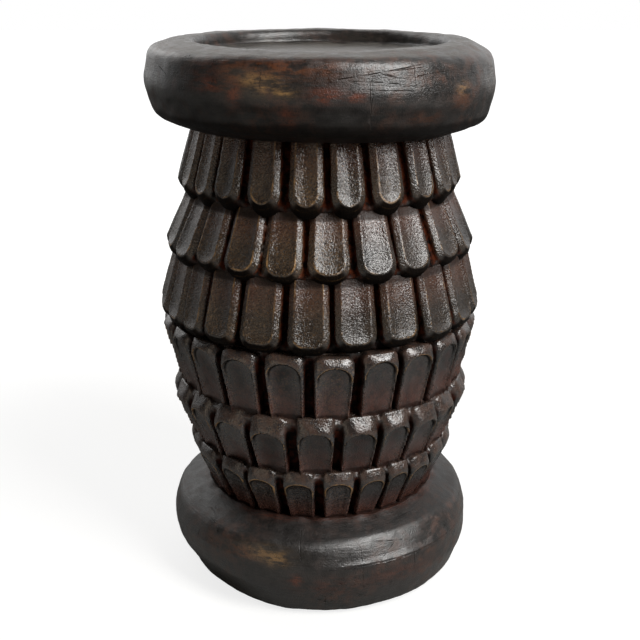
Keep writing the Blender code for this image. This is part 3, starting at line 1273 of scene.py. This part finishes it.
@dataclass
class RolledWood:
    """A rolled ring cut from the log by hand, with its drying cracks, scratches and rubbed places.

    Attributes:
        name: The piece's name.
        nodes: The solids that it stands for.
        corners: The outer side's corners from its top to its bottom: radius, height and rounding.
        bulge_height: The height of its widest line.
        checks: Its drying cracks.
        rubs: Its rubbed places.
        scratches: Its scratches.
        seed: What the cracks' small bends start from.
        dust: How much pale dust and painted sheen lies on its level top, from 0 to 1.
        soot_above: How much soot lies there.
        shade_below: Between which downward slopes the underside is painted in shade.
        turn_steps: How many steps go round the ring.
        tool_lumps: The size and the strength of the lumps that the adze left.
        check_stations: How many sections a crack's blade has.
        check_spare: How far the blade stands out of the wood.
        bend_rates: How often a crack bends to either side.
        bend_reach: How far it bends.
        slope_step: How far up and down the section's slope is measured.
        side: The outer side's section with rounded corners.
    """

    name: str
    nodes: tuple[str, ...]
    corners: Corners
    bulge_height: float
    checks: tuple[Check, ...]
    rubs: tuple[Rub, ...]
    scratches: tuple[Scratch, ...]
    seed: int
    dust: float = 0.0
    soot_above: float = 0.0
    shade_below: tuple[float, float] = (0.12, 0.65)
    turn_steps: int = 330
    tool_lumps: tuple[tuple[float, float], ...] = (
        (0.11, 0.0022),
        (0.035, 0.0014),
        (0.012, 0.0007),
        (0.005, 0.0003),
    )
    check_stations: int = 22
    check_spare: float = 0.003
    bend_rates: tuple[int, ...] = (5, 11, 23)
    bend_reach: float = 0.0002
    slope_step: float = 0.001
    side: Profile = field(init=False)

    def __post_init__(self) -> None:
        """Rounds the section's corners."""
        self.side = rounded_path(self.corners)

    @property
    def bulge_radius(self) -> float:
        """The ring's largest radius."""
        return max(radius for radius, _ in self.side)

    def radii_at(self, heights: np.ndarray) -> np.ndarray:
        """Measures the outer side.

        Args:
            heights: The heights.

        Returns:
            The radius at each height.
        """
        highest = max(range(len(self.side)), key=lambda number: self.side[number][1])
        radii, levels = zip(*reversed(self.side[highest:]))
        return np.interp(heights, levels, radii)

    def radius_at(self, height: float) -> float:
        """Gives the outer side's radius at one height."""
        return float(self.radii_at(np.array(height)))

    def settle(self, points: np.ndarray) -> np.ndarray:
        """Leaves the points as they are; the seat and the base give them their own unevenness, which wear
        and drying have left.
        """
        return points

    def blade(self, check: Check, draw: random.Random) -> Piece:
        """Models the thin blade that cuts one drying crack.

        Args:
            check: The crack.
            draw: What its small bends are drawn from.

        Returns:
            A closed blade that follows the ring's section and thins out towards its ends.
        """
        bends = [(rate, draw.uniform(0, math.tau)) for rate in self.bend_rates]
        sections = []
        for station in range(self.check_stations):
            share = station / (self.check_stations - 1)
            height = check.start + (check.end - check.start) * share
            radius = self.radius_at(height)
            rise_above = self.radius_at(height + self.slope_step)
            slope = (rise_above - self.radius_at(height - self.slope_step)) / (2 * self.slope_step)
            out = Vector((1.0, -slope)).normalized()
            swell = max(math.sin(math.pi * share), 0.1)
            wander = sum(math.sin(share * rate + shift) for rate, shift in bends) * self.bend_reach
            corners = []
            for side, reach in ((-1, self.check_spare), (1, self.check_spare), (0.3, -1), (-0.3, -1)):
                rise = reach if reach > 0 else -check.depth * swell
                angle = check.angle + math.degrees((wander + side * check.width * swell / 2) / radius)
                corners.append(around_axis(angle, radius + out.x * rise, height + out.y * rise))
            sections.append(corners)
        blade = loft(self.name + "_blade", sections)
        move_to(blade, self.settle(places(blade)))
        return blade

    def split(self, ring: Piece, finish: CheckFinish) -> None:
        """Cuts the drying cracks into a ring.

        Args:
            ring: The ring.
            finish: The finish of the cracks' dark inside.
        """
        draw = random.Random(self.seed)
        blades = [self.blade(check, draw) for check in self.checks]
        cutter = blades[0]
        activate(cutter)
        for blade in blades:
            blade.select_set(True)
        bpy.ops.object.join()
        cutter.data.materials.append(finish.material(self.name + "_check_finish"))
        cut = {"operation": "DIFFERENCE", "material_mode": "TRANSFER", "use_self": True}
        finish_with(ring, "BOOLEAN", object=cutter, **cut)
        bpy.data.objects.remove(cutter)

    def roughen(self, ring: Piece, still: np.ndarray) -> None:
        """Makes a turned ring uneven, as hand tools leave it.

        Args:
            ring: The ring.
            still: Which of its points stay where they are.
        """
        group = weigh(ring, "worked", ~still)
        for size, strength in self.tool_lumps:
            finish_with(
                ring,
                "DISPLACE",
                texture=lumps(f"{self.name}_lumps", size, 1),
                strength=strength,
                vertex_group=group,
                texture_coords="LOCAL",
            )
        ring.vertex_groups.clear()

    def write_marks(self, ring: Piece) -> None:
        """Writes on the points how the tool went round, where hands rubbed and where a sheen and a warm
        reflection are painted, where dust and a painted sheen lie, and where soot and painted shade lie.

        Args:
            ring: The ring.
        """
        points = places(ring)
        radius = np.maximum(np.hypot(points[:, 0], points[:, 1]), 1e-6)
        section_radius = (self.side[0][0] + self.side[-1][0]) / 2
        turn = np.arctan2(points[:, 2] - self.bulge_height, radius - section_radius)
        round_about = ease(radius, section_radius * 0.9, section_radius * 1.02)
        run = turn * (self.bulge_radius - section_radius) * round_about + radius * (1 - round_about)
        flow = np.stack(
            (points[:, 0] / radius * section_radius, points[:, 1] / radius * section_radius, run), axis=1
        )
        mark(ring, "flow", flow)
        angle = np.degrees(np.arctan2(points[:, 0], -points[:, 1]))
        round_skin = np.radians(angle) * self.bulge_radius
        mark(ring, "skin", np.stack((round_skin, points[:, 2], np.zeros(len(points))), axis=1))
        outer = ease(radius, self.side[0][0] - 0.001, self.side[0][0] + 0.001)
        for tint in Tint:
            shown = np.zeros(len(points))
            for rub in self.rubs:
                if rub.tint is tint:
                    along = np.radians((angle - rub.angle + 180) % 360 - 180) * radius / rub.reach
                    up = (points[:, 2] - rub.height) / rub.rise
                    where = 1 - outer if rub.within else outer
                    shown = np.maximum(shown, rub.strength * np.exp(-(along**2) - up**2) * where)
            mark(ring, tint.value, shown)
        upward = outward(ring)[:, 2]
        on_floor = ease(-points[:, 2], -0.004, -0.001)
        mark(ring, "raw_end", ease(-upward, 0.75, 0.97) * on_floor)
        # Downward faces are painted in shade; the base's top gets soot.
        under = ease(-upward, *self.shade_below) * (1 - on_floor)
        mark(ring, "soot_and_painted_shade", np.maximum(under, self.soot_above * ease(upward, 0.5, 0.9)))
        # The pale top is partly dust and partly a painted sheen.
        mark(ring, "dust_and_sheen", self.dust * ease(upward, 0.80, 0.99))

    def dress(self, ring: Piece, finish: RollFinish) -> None:
        """Gives a ring its finish, keeping the cracks', and sets it in the frame.

        Args:
            ring: The ring.
            finish: Its finish.
        """
        material = finish.material(self.name + "_finish", self.scratches, self.bulge_radius)
        if ring.data.materials:
            ring.data.materials[0] = material
        else:
            ring.data.materials.append(material)
        activate(ring)
        bpy.ops.object.shade_smooth_by_angle(angle=math.radians(50))
        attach(ring, BODY)
        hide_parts(*self.nodes)


@dataclass
class Seat(RolledWood):
    """The rolled seat rim and the dished seat inside it, as one piece.

    Attributes:
        floor_height: The height of the dished floor.
        flat_radius: How far the floor is flat.
        wall_radius: Where the floor's cove meets the rim's inner wall.
        cove_rise: How high the cove rises at the wall.
        lip_fullness: How full the rounding between the wall and the top is.
        right_sag: How much lower the rim's underside hangs on the right.
        right_wear: How much lower its shoulder is worn there.
        front_dip: How much lower the crest lies in front.
    """

    floor_height: float = 0.4366
    flat_radius: float = 0.084
    wall_radius: float = 0.0988
    cove_rise: float = 0.0035
    lip_fullness: float = 2.5
    right_sag: float = 0.0055
    right_wear: float = 0.0035
    front_dip: float = 0.0016

    def profile(self) -> Profile:
        """Draws the section that is turned.

        Returns:
            The profile from the middle of the floor over the rim to the middle of the underside.
        """
        floor = [(self.flat_radius * step / 14, self.floor_height) for step in range(15)]
        cove_run = self.wall_radius - self.flat_radius
        cove = []
        for step in range(1, 8):
            turn = math.pi / 2 * step / 8
            run, rise = cove_run * math.sin(turn), self.cove_rise * (1 - math.cos(turn))
            cove.append((self.flat_radius + run, self.floor_height + rise))
        top_radius, top_height = self.side[0]
        wall_foot = self.floor_height + self.cove_rise
        lip = []
        for step in range(14):
            turn = math.pi / 2 * step / 14
            across = math.cos(turn) ** (2 / self.lip_fullness)
            up = math.sin(turn) ** (2 / self.lip_fullness)
            run = (top_radius - self.wall_radius) * across
            lip.append((top_radius - run, wall_foot + (top_height - wall_foot) * up))
        under_radius, under_height = self.side[-1]
        underside = [(under_radius * (1 - step / 6), under_height) for step in range(1, 7)]
        return [*floor, *cove, *lip, *self.side, *underside]

    def settle(self, points: np.ndarray) -> np.ndarray:
        """Lowers the rim on the right, where it has sagged below and is worn round above, and in front.

        Args:
            points: The points of the turned seat.

        Returns:
            The lowered points.
        """
        radius = np.hypot(points[:, 0], points[:, 1])
        front = np.maximum(-points[:, 1] / np.maximum(radius, 1e-6), 0)
        right = np.maximum(points[:, 0] / np.maximum(radius, 1e-6), 0) ** 1.3
        below = ease(-points[:, 2], -self.bulge_height - 0.010, -self.bulge_height + 0.020)
        sag = self.right_sag * ease(radius, 0.097, 0.109) * below
        wear = self.right_wear * ease(radius, 0.114, 0.134) * (1 - below)
        dip = self.front_dip * ease(radius, 0.094, 0.100) * ease(-radius, -0.130, -0.118) * (1 - below)
        settled = points.copy()
        settled[:, 2] -= right * (sag + wear) + front * dip
        return settled

    def build(self, finish: RollFinish, crack: CheckFinish) -> Piece:
        """Turns, roughens, cracks and dresses the seat.

        Args:
            finish: The seat's finish.
            crack: The cracks' finish.

        Returns:
            The finished seat.
        """
        ring = lathe(self.name, self.profile(), self.turn_steps)
        move_to(ring, self.settle(places(ring)))
        points = places(ring)
        below = np.hypot(points[:, 0], points[:, 1]) < self.side[-1][0] + 0.001
        self.roughen(ring, below & (points[:, 2] < self.bulge_height))
        self.split(ring, crack)
        self.write_marks(ring)
        self.dress(ring, finish)
        return ring


@dataclass
class Base(RolledWood):
    """The rolled base and the heart of the log that stands on it, as one piece.

    Attributes:
        post_radius: The radius of the log's heart.
        post_height: How high the heart reaches.
        foot_wear: How far the foot is worn in at the front left.
        wear_angle: Where that is, in degrees from the front towards the right.
        plane_angle: Where the shoulder was planed, in the same way.
        plane_height: Where that facet ends below, in a crease.
        plane_slope: How much the facet falls back for each step up.
        plane_softness: How softly it runs out into the ring above.
        crease_depth: How deep the crease is.
        crease_width: How wide it is.
        lip_waves: How many waves the chisel left in the lip under the scales.
        wave_height: How high they are.
    """

    post_radius: float = 0.06
    post_height: float = 0.3837
    foot_wear: float = 0.0065
    wear_angle: float = -58.0
    plane_angle: float = 35.0
    plane_height: float = 0.0488
    plane_slope: float = 0.56
    plane_softness: float = 0.0030
    crease_depth: float = 0.0008
    crease_width: float = 0.0010
    lip_waves: int = 24
    wave_height: float = 0.0006

    def profile(self) -> Profile:
        """Draws the section that is turned.

        Returns:
            The profile from the top of the heart over the ring to the middle of the underside.
        """
        lip_radius, lip_height = self.side[0]
        post = [(0.0, self.post_height), (self.post_radius, self.post_height)]
        ledge = [(self.post_radius, lip_height), ((self.post_radius + lip_radius) / 2, lip_height)]
        foot_radius, foot_height = self.side[-1]
        underside = [(foot_radius * (1 - step / 12), foot_height) for step in range(1, 13)]
        return [*post, *ledge, *self.side, *underside]

    def settle(self, points: np.ndarray) -> np.ndarray:
        """Wears the foot in at the front left, planes the shoulder at the right, and makes the lip wavy.

        Args:
            points: The points of the turned base.

        Returns:
            The moved points.
        """
        radius = np.hypot(points[:, 0], points[:, 1])
        turn = np.arctan2(points[:, 0], -points[:, 1])
        away = np.abs((np.degrees(turn) - self.wear_angle + 180.0) % 360.0 - 180.0)
        worn = ease(-away, -50.0, -12.0) * ease(-points[:, 2], -0.044, -0.008)
        worn *= ease(radius, 0.07, 0.112)
        beside = np.abs(np.degrees(turn) - self.plane_angle)
        planed = ease(-beside, -40.0, -10.0) * ease(radius, 0.100, 0.106)
        above = points[:, 2] - self.plane_height
        facet = self.radius_at(self.plane_height) - self.plane_slope * above
        over = self.radii_at(points[:, 2]) - facet
        cut = (over + np.sqrt(over**2 + self.plane_softness**2)) / 2 * ease(above, 0.0, 0.003)
        cut += self.crease_depth * np.exp(-((above / self.crease_width) ** 2))
        drawn_in = (self.foot_wear * worn + planed * cut) / np.maximum(radius, 0.01)
        settled = points.copy()
        settled[:, :2] *= 1 - drawn_in[:, None]
        on_lip = ease(radius, 0.0960, 0.0985) * ease(-radius, -0.1050, -0.1000)
        on_lip *= ease(points[:, 2], 0.05, 0.07)
        waves = np.sin(self.lip_waves * turn) + 0.6 * np.sin(self.lip_waves * 1.5 * turn + 1.0)
        settled[:, 2] += self.wave_height * waves * on_lip
        return settled

    def build(self, finish: RollFinish, crack: CheckFinish) -> Piece:
        """Turns, roughens, cracks and dresses the base.

        Args:
            finish: The base's finish.
            crack: The cracks' finish.

        Returns:
            The finished base.
        """
        ring = lathe(self.name, self.profile(), self.turn_steps)
        move_to(ring, self.settle(places(ring)))
        points = places(ring)
        inside = np.hypot(points[:, 0], points[:, 1]) < self.side[0][0] * 1.005
        self.roughen(ring, (points[:, 2] < 0.002) | inside)
        self.split(ring, crack)
        self.write_marks(ring)
        self.dress(ring, finish)
        return ring


@dataclass
class Lamp:
    """A soft studio lamp that shines at the stool.

    Attributes:
        name: The lamp's name.
        azimuth: Where it stands, in degrees from the front towards the right.
        elevation: How high it stands, in degrees.
        distance: How far from the stool's middle.
        width: Its width.
        height: Its height.
        power: Its power.
        colour: Its colour.
    """

    name: str
    azimuth: float
    elevation: float
    distance: float
    width: float
    height: float
    power: float
    colour: tuple[float, float, float]

    def place(self, target: Vector) -> None:
        """Sets up the lamp.

        Args:
            target: The point that it shines at.
        """
        rise = math.radians(self.elevation)
        away = around_axis(self.azimuth, math.cos(rise), math.sin(rise)) * self.distance
        deselect_all()
        bpy.ops.object.light_add(type="AREA", location=target + away)
        lamp = bpy.context.object
        lamp.name = self.name
        lamp.rotation_euler = away.to_track_quat("Z", "Y").to_euler()
        lamp.data.shape = "RECTANGLE"
        lamp.data.size = self.width
        lamp.data.size_y = self.height
        lamp.data.energy = self.power
        lamp.data.color = self.colour


@dataclass
class Studio:
    """The camera, the floor, the light and the white surroundings.

    Attributes:
        camera_place: Where the camera stands.
        camera_pitch: How far it looks down, in degrees.
        focal_length: The lens, in millimetres.
        sensor_width: The width of the camera's sensor, in millimetres.
        floor_size: How long and wide the floor is.
        target: The point that the lamps shine at.
        lamps: The lamps.
    """

    camera_place: tuple[float, float, float] = (0.0, -0.865, 0.510)
    camera_pitch: float = 18.92
    focal_length: float = 59.8
    sensor_width: float = 36.0
    floor_size: float = 14.0
    target: Vector = field(default_factory=lambda: Vector((0.0, 0.0, 0.23)))
    lamps: tuple[Lamp, ...] = (
        Lamp("window", 48.0, 40.0, 2.0, 0.8, 1.4, 50.0, (1.0, 0.99, 0.97)),
        Lamp("warm_side", -42.0, 9.0, 2.2, 0.9, 1.2, 2.8, (1.0, 0.84, 0.66)),
        Lamp("far_window", -140.0, 35.0, 2.4, 1.4, 1.4, 8.0, (1.0, 0.98, 0.95)),
    )

    def place_camera(self) -> None:
        """Sets the camera where the photograph was taken from."""
        deselect_all()
        tilt = math.radians(90.0 - self.camera_pitch)
        bpy.ops.object.camera_add(location=self.camera_place, rotation=(tilt, 0.0, 0.0))
        camera = bpy.context.object
        camera.data.lens = self.focal_length
        camera.data.sensor_width = self.sensor_width
        bpy.context.scene.camera = camera

    def lay_floor(self) -> Piece:
        """Lays a pale floor that keeps a soft shadow and is white towards the camera.

        Returns:
            The floor.
        """
        deselect_all()
        bpy.ops.mesh.primitive_plane_add(size=self.floor_size)
        floor = bpy.context.object
        floor.name = "pale_floor"
        sketch = NodeSketch("pale_floor_finish")
        sketch.shader.inputs["Base Color"].default_value = paint("#8c8c8a")
        sketch.shader.inputs["Roughness"].default_value = 0.7
        sketch.shader.inputs["Specular IOR Level"].default_value = 0.2
        sketch.shader.inputs["Emission Color"].default_value = (1.0, 1.0, 1.0, 1.0)
        path = sketch.node("ShaderNodeLightPath")
        distance = sketch.node("ShaderNodeVectorMath", operation="LENGTH")
        sketch.feed(distance.inputs[0], sketch.place())
        white = sketch.spread(distance.outputs["Value"], 0.3, 1.1, 0.80, 1.0)
        seen_white = sketch.both(path.outputs["Is Camera Ray"], white)
        sketch.feed(sketch.shader.inputs["Emission Strength"], seen_white)
        floor.data.materials.append(sketch.material)
        return floor

    def light_world(self) -> None:
        """Makes surroundings that are white to look at, bright behind the stool and dim in front of it."""
        scene = bpy.context.scene
        world = bpy.data.worlds.new("white_room")
        scene.world = world
        world.use_nodes = True
        nodes, links = world.node_tree.nodes, world.node_tree.links
        room = nodes["Background"]
        coordinate = nodes.new("ShaderNodeTexCoord")
        split = nodes.new("ShaderNodeSeparateXYZ")
        links.new(coordinate.outputs["Generated"], split.inputs["Vector"])
        depth = nodes.new("ShaderNodeMapRange")
        depth.interpolation_type = "SMOOTHSTEP"
        for name, value in (("From Min", 0.0), ("From Max", 0.8), ("To Min", 0.03), ("To Max", 1.0)):
            depth.inputs[name].default_value = value
        links.new(split.outputs["Y"], depth.inputs["Value"])
        links.new(depth.outputs["Result"], room.inputs["Strength"])
        room.inputs["Color"].default_value = (1.0, 1.0, 1.0, 1.0)
        white = nodes.new("ShaderNodeBackground")
        white.inputs["Color"].default_value = (1.0, 1.0, 1.0, 1.0)
        path = nodes.new("ShaderNodeLightPath")
        choose = nodes.new("ShaderNodeMixShader")
        links.new(path.outputs["Is Camera Ray"], choose.inputs["Fac"])
        links.new(room.outputs["Background"], choose.inputs[1])
        links.new(white.outputs["Background"], choose.inputs[2])
        links.new(choose.outputs["Shader"], nodes["World Output"].inputs["Surface"])
        scene.view_settings.view_transform = "Standard"

    def build(self) -> None:
        """Sets up the whole studio."""
        self.place_camera()
        self.lay_floor()
        self.light_world()
        for lamp in self.lamps:
            lamp.place(self.target)


def seat() -> Seat:
    """Gives the seat its sizes from the frame, and its marks from the photograph.

    Returns:
        The seat.
    """
    rim_low, rim_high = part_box("seat_rim")
    widest = rim_high.x
    return Seat(
        name="carved_seat",
        nodes=("seat_rim", "seat_dish"),
        corners=(
            (0.1050, rim_high.z - 0.0010, 0.0),
            (0.1180, rim_high.z - 0.0012, 0.030),
            (widest - 0.0040, rim_high.z - 0.0066, 0.011),
            (widest + 0.0008, 0.418, 0.030),
            (widest - 0.0062, 0.3930, 0.015),
            (0.1074, rim_low.z, 0.0),
        ),
        bulge_height=(rim_low.z + rim_high.z) / 2,
        checks=(
            Check(-17.2, 0.4350, 0.4235),
            Check(2.8, 0.4388, 0.4200, width=0.0003, depth=0.0015),
            Check(14.8, 0.4400, 0.3975),
            Check(28.2, 0.4425, 0.4225),
            Check(118.0, 0.4430, 0.3950),
            Check(205.0, 0.4440, 0.4050),
            Check(290.0, 0.4380, 0.3900),
        ),
        rubs=(
            Rub(-11.0, 0.4375, 0.032, 0.0070, Tint.BROWN, 0.8),
            Rub(-26.0, 0.4350, 0.012, 0.0090, Tint.BROWN, 0.7),
            Rub(2.0, 0.4375, 0.012, 0.0060, Tint.BROWN, 0.6),
            Rub(-36.0, 0.4340, 0.014, 0.0070, Tint.RUST, 0.35),
            # These golden patches on the front left are partly rubbed wear and partly a painted warm
            # reflection.
            Rub(-15.5, 0.4275, 0.010, 0.0050, Tint.GOLD),
            Rub(-20.0, 0.4305, 0.008, 0.0035, Tint.GOLD, 0.8),
            Rub(-11.0, 0.4225, 0.008, 0.0030, Tint.GOLD, 0.9),
            Rub(-34.0, 0.4255, 0.014, 0.0050, Tint.RUST, 0.9),
            Rub(-25.5, 0.4195, 0.005, 0.0080, Tint.RUST),
            Rub(-9.5, 0.4055, 0.006, 0.0055, Tint.RUST),
            Rub(1.8, 0.4200, 0.011, 0.0050, Tint.RUST),
            Rub(10.0, 0.4190, 0.007, 0.0040, Tint.RUST, 0.8),
            Rub(47.8, 0.4205, 0.006, 0.0040, Tint.GOLD, 0.5),
            Rub(48.0, 0.4120, 0.012, 0.0070, Tint.BROWN, 0.5),
            Rub(32.5, 0.4025, 0.014, 0.0050, Tint.BROWN, 0.5),
            # The pale patches at the sides paint the grazing sheen there as well as scuffs; inside the dish,
            # the one at -153 degrees is a painted highlight and the one behind is a painted sheen on dust.
            Rub(-70.0, 0.4270, 0.024, 0.0130, Tint.PALE, 0.45),
            Rub(72.0, 0.4250, 0.022, 0.0130, Tint.PALE, 0.30),
            Rub(-153.0, 0.4410, 0.013, 0.0040, Tint.PALE, 0.45, within=True),
            Rub(180.0, 0.4366, 0.045, 0.0015, Tint.PALE, 0.8, within=True),
            Rub(150.0, 0.4300, 0.040, 0.0100, Tint.BROWN),
            Rub(158.0, 0.4220, 0.014, 0.0060, Tint.GOLD, 0.8),
            Rub(236.0, 0.4240, 0.020, 0.0080, Tint.RUST, 0.8),
            Rub(262.0, 0.4330, 0.030, 0.0080, Tint.BROWN, 0.8),
        ),
        scratches=(
            Scratch((5.0, 0.4311), (32.0, 0.4397), 0.0006),
            Scratch((22.0, 0.4360), (35.5, 0.4380)),
            Scratch((17.5, 0.4341), (23.8, 0.4303), 0.0006),
            Scratch((19.2, 0.4339), (22.2, 0.4320)),
            Scratch((7.8, 0.4302), (23.2, 0.4272)),
            Scratch((11.8, 0.4243), (28.0, 0.4220)),
            Scratch((29.0, 0.4317), (39.5, 0.4335)),
            Scratch((14.2, 0.4280), (14.0, 0.4050)),
            Scratch((-61.5, 0.4354), (-53.8, 0.4290)),
            Scratch((100.0, 0.4240), (122.0, 0.4330)),
            Scratch((170.0, 0.4330), (192.0, 0.4230)),
            Scratch((-112.0, 0.4200), (-90.0, 0.4340)),
        ),
        seed=11,
        dust=0.9,
        shade_below=(-0.05, 0.5),
    )


def base() -> Base:
    """Gives the base its sizes from the frame, and its marks from the photograph.

    Returns:
        The base.
    """
    ring_low, ring_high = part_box("base_ring")
    core_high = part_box("log_core")[1]
    widest = ring_high.x
    top = ring_high.z
    return Base(
        name="carved_base",
        nodes=("base_ring", "log_core"),
        corners=(
            (0.0955, top - 0.0010, 0.0),
            (0.0990, top - 0.0002, 0.0012),
            (0.1246, 0.0658, 0.0160),
            (widest - 0.0014, 0.0496, 0.0012),
            (widest - 0.0012, 0.0480, 0.0010),
            (widest - 0.0004, 0.0300, 0.0200),
            (0.1212, 0.0036, 0.0090),
            (0.1080, ring_low.z, 0.0),
        ),
        bulge_height=0.038,
        checks=(
            Check(15.5, 0.0640, 0.0280),
            Check(2.0, 0.0270, 0.0090, width=0.0004),
            Check(36.4, 0.0610, 0.0300, width=0.0004),
            Check(-52.0, 0.0650, 0.0450, width=0.0004),
            Check(105.0, 0.0690, 0.0200),
            Check(160.0, 0.0680, 0.0120),
            Check(255.0, 0.0650, 0.0250),
        ),
        rubs=(
            # These golden patches on the front left are partly rubbed wear and partly a painted warm
            # reflection.
            Rub(-16.5, 0.0545, 0.010, 0.0055, Tint.GOLD, 0.75),
            Rub(-22.0, 0.0575, 0.010, 0.0050, Tint.GOLD, 0.5),
            Rub(-30.0, 0.0545, 0.016, 0.0060, Tint.BROWN, 0.5),
            Rub(-8.2, 0.0373, 0.006, 0.0050, Tint.RUST, 0.6),
            Rub(2.0, 0.0310, 0.028, 0.0090, Tint.RUST, 0.25),
            Rub(30.0, 0.0350, 0.034, 0.0100, Tint.RUST, 0.25),
            Rub(140.0, 0.0550, 0.030, 0.0080, Tint.BROWN, 0.8),
            Rub(150.0, 0.0500, 0.012, 0.0060, Tint.GOLD, 0.7),
            Rub(230.0, 0.0450, 0.030, 0.0100, Tint.RUST, 0.5),
            *(Rub(angle, top - 0.0006, 0.030, 0.0016, Tint.RUST, 0.5) for angle in range(0, 360, 20)),
        ),
        scratches=(
            Scratch((-7.8, 0.0717), (-6.8, 0.0548)),
            Scratch((20.0, 0.0640), (33.0, 0.0600)),
            Scratch((24.0, 0.0520), (30.0, 0.0610)),
            Scratch((150.0, 0.0400), (168.0, 0.0520)),
        ),
        seed=12,
        soot_above=0.5,
        shade_below=(0.3, 0.9),
        post_radius=core_high.x,
        post_height=core_high.z,
    )


def standing_tiers() -> tuple[ScaleTier, ...]:
    """Gives the three tiers whose free ends point up, from the base to the waist.

    Returns:
        The three tiers.
    """
    sunk = ((0.0005, 0.0028), (0.0045, 0.0006), (0.0035, 0.0002))
    upper = ScaleTier(
        node="standing_scales_upper",
        pointing=Pointing.UP,
        root_radius=0.1212,
        tip_radius=0.1325,
        end_run=0.0068,
        end_corner=0.0115,
        scale_count=24,
        front_angles=(-45.0, -29.5, -12.3, 4.4, 21.2, 36.0, 52.0),
        face_cuts=sunk,
        seed=4,
        gap=0.0064,
        toe_gap=0.0044,
        root_narrowing=0.97,
        strip_width=0.0014,
        strip_drop=0.0022,
        corner_stretch=1.14,
    )
    middle = ScaleTier(
        node="standing_scales_middle",
        pointing=Pointing.UP,
        root_radius=0.1122,
        tip_radius=0.1267,
        end_run=0.0130,
        end_corner=0.0110,
        scale_count=23,
        front_angles=(-53.0, -36.5, -19.8, -1.7, 15.0, 29.6, 43.0),
        face_cuts=sunk,
        seed=5,
        gap=0.0064,
        toe_gap=0.0042,
        root_narrowing=0.97,
        next_tier=upper,
        strip_width=0.0014,
        strip_drop=0.0022,
        corner_stretch=1.16,
    )
    lower = ScaleTier(
        node="standing_scales_lower",
        pointing=Pointing.UP,
        root_radius=0.0980,
        tip_radius=0.1146,
        end_run=0.0098,
        end_corner=0.0085,
        scale_count=24,
        front_angles=(-57.0, -40.0, -25.4, -8.6, 7.8, 22.2, 35.4, 48.0),
        face_cuts=((0.0008, 0.0008), (0.0026, 0.0002), (0.0008, 0.0006), (0.0012, 0.0002)),
        seed=6,
        gap=0.0060,
        toe_gap=0.0042,
        root_narrowing=0.90,
        next_tier=middle,
        root_reach=0.003,
        groove_depth=0.011,
        strip_width=0.0014,
        strip_drop=0.0022,
        corner_stretch=1.2,
    )
    return lower, middle, upper


def hanging_tiers() -> tuple[ScaleTier, ...]:
    """Gives the three tiers whose free ends hang down, from the seat to the waist.

    Returns:
        The three tiers.
    """
    gouged = ((0.0007, 0.0003), (0.0030, 0.0008), (0.0036, 0.0005))
    lower = ScaleTier(
        node="hanging_scales_lower",
        pointing=Pointing.DOWN,
        root_radius=0.1220,
        tip_radius=0.1339,
        end_run=0.0091,
        end_corner=0.0074,
        scale_count=24,
        front_angles=(-62.0, -50.0, -36.3, -20.3, -3.8, 12.2, 28.9, 44.9, 60.3, 75.0),
        face_cuts=gouged,
        seed=3,
        gap=0.0042,
        toe_gap=0.0026,
        root_narrowing=1.0,
    )
    middle = ScaleTier(
        node="hanging_scales_middle",
        pointing=Pointing.DOWN,
        root_radius=0.1100,
        tip_radius=0.1267,
        end_run=0.0096,
        end_corner=0.0088,
        scale_count=23,
        front_angles=(-58.5, -44.8, -28.9, -13.6, 3.4, 20.2, 36.8, 55.0, 71.0),
        face_cuts=gouged,
        seed=2,
        gap=0.0046,
        toe_gap=0.0032,
        root_narrowing=1.0,
        next_tier=lower,
    )
    upper = ScaleTier(
        node="hanging_scales_upper",
        pointing=Pointing.DOWN,
        root_radius=0.1034,
        tip_radius=0.1158,
        end_run=0.0112,
        end_corner=0.0092,
        scale_count=24,
        front_angles=(-66.5, -52.5, -38.8, -22.6, -5.4, 10.6, 27.0, 44.4, 57.5, 69.5),
        face_cuts=gouged,
        seed=1,
        gap=0.0052,
        toe_gap=0.0046,
        root_narrowing=1.0,
        next_tier=middle,
        root_reach=0.003,
    )
    return upper, middle, lower


def main() -> None:
    """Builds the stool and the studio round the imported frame."""
    logging.basicConfig(level=logging.INFO, format="%(message)s")
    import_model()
    Studio().build()
    crack = CheckFinish()
    roll = RollFinish()
    # The standing tiers' copy of the finish: its greyer, lighter soot and brown are partly a painted sheen
    # of the downward-facing faces, and its darker red paints the shade in the gaps between the scales.
    standing = ScaleFinish(
        soot=paint("#1f1e1e"),
        brown=paint("#4a4748"),
        rust=paint("#6a3827"),
        red=paint("#3e1c12"),
        cap=paint("#45332a"),
        stipple=0.5,
        chip_start=0.41,
    )
    pieces = [base().build(roll, crack)]
    pieces += [tier.build(standing) for tier in standing_tiers()]
    pieces += [tier.build(ScaleFinish()) for tier in hanging_tiers()]
    pieces.append(seat().build(RollFinish(specular=0.85), crack))
    for piece in pieces:
        piece.data.calc_loop_triangles()
        log.info("%s: %d triangles", piece.name, len(piece.data.loop_triangles))


if __name__ == "__main__":
    main()
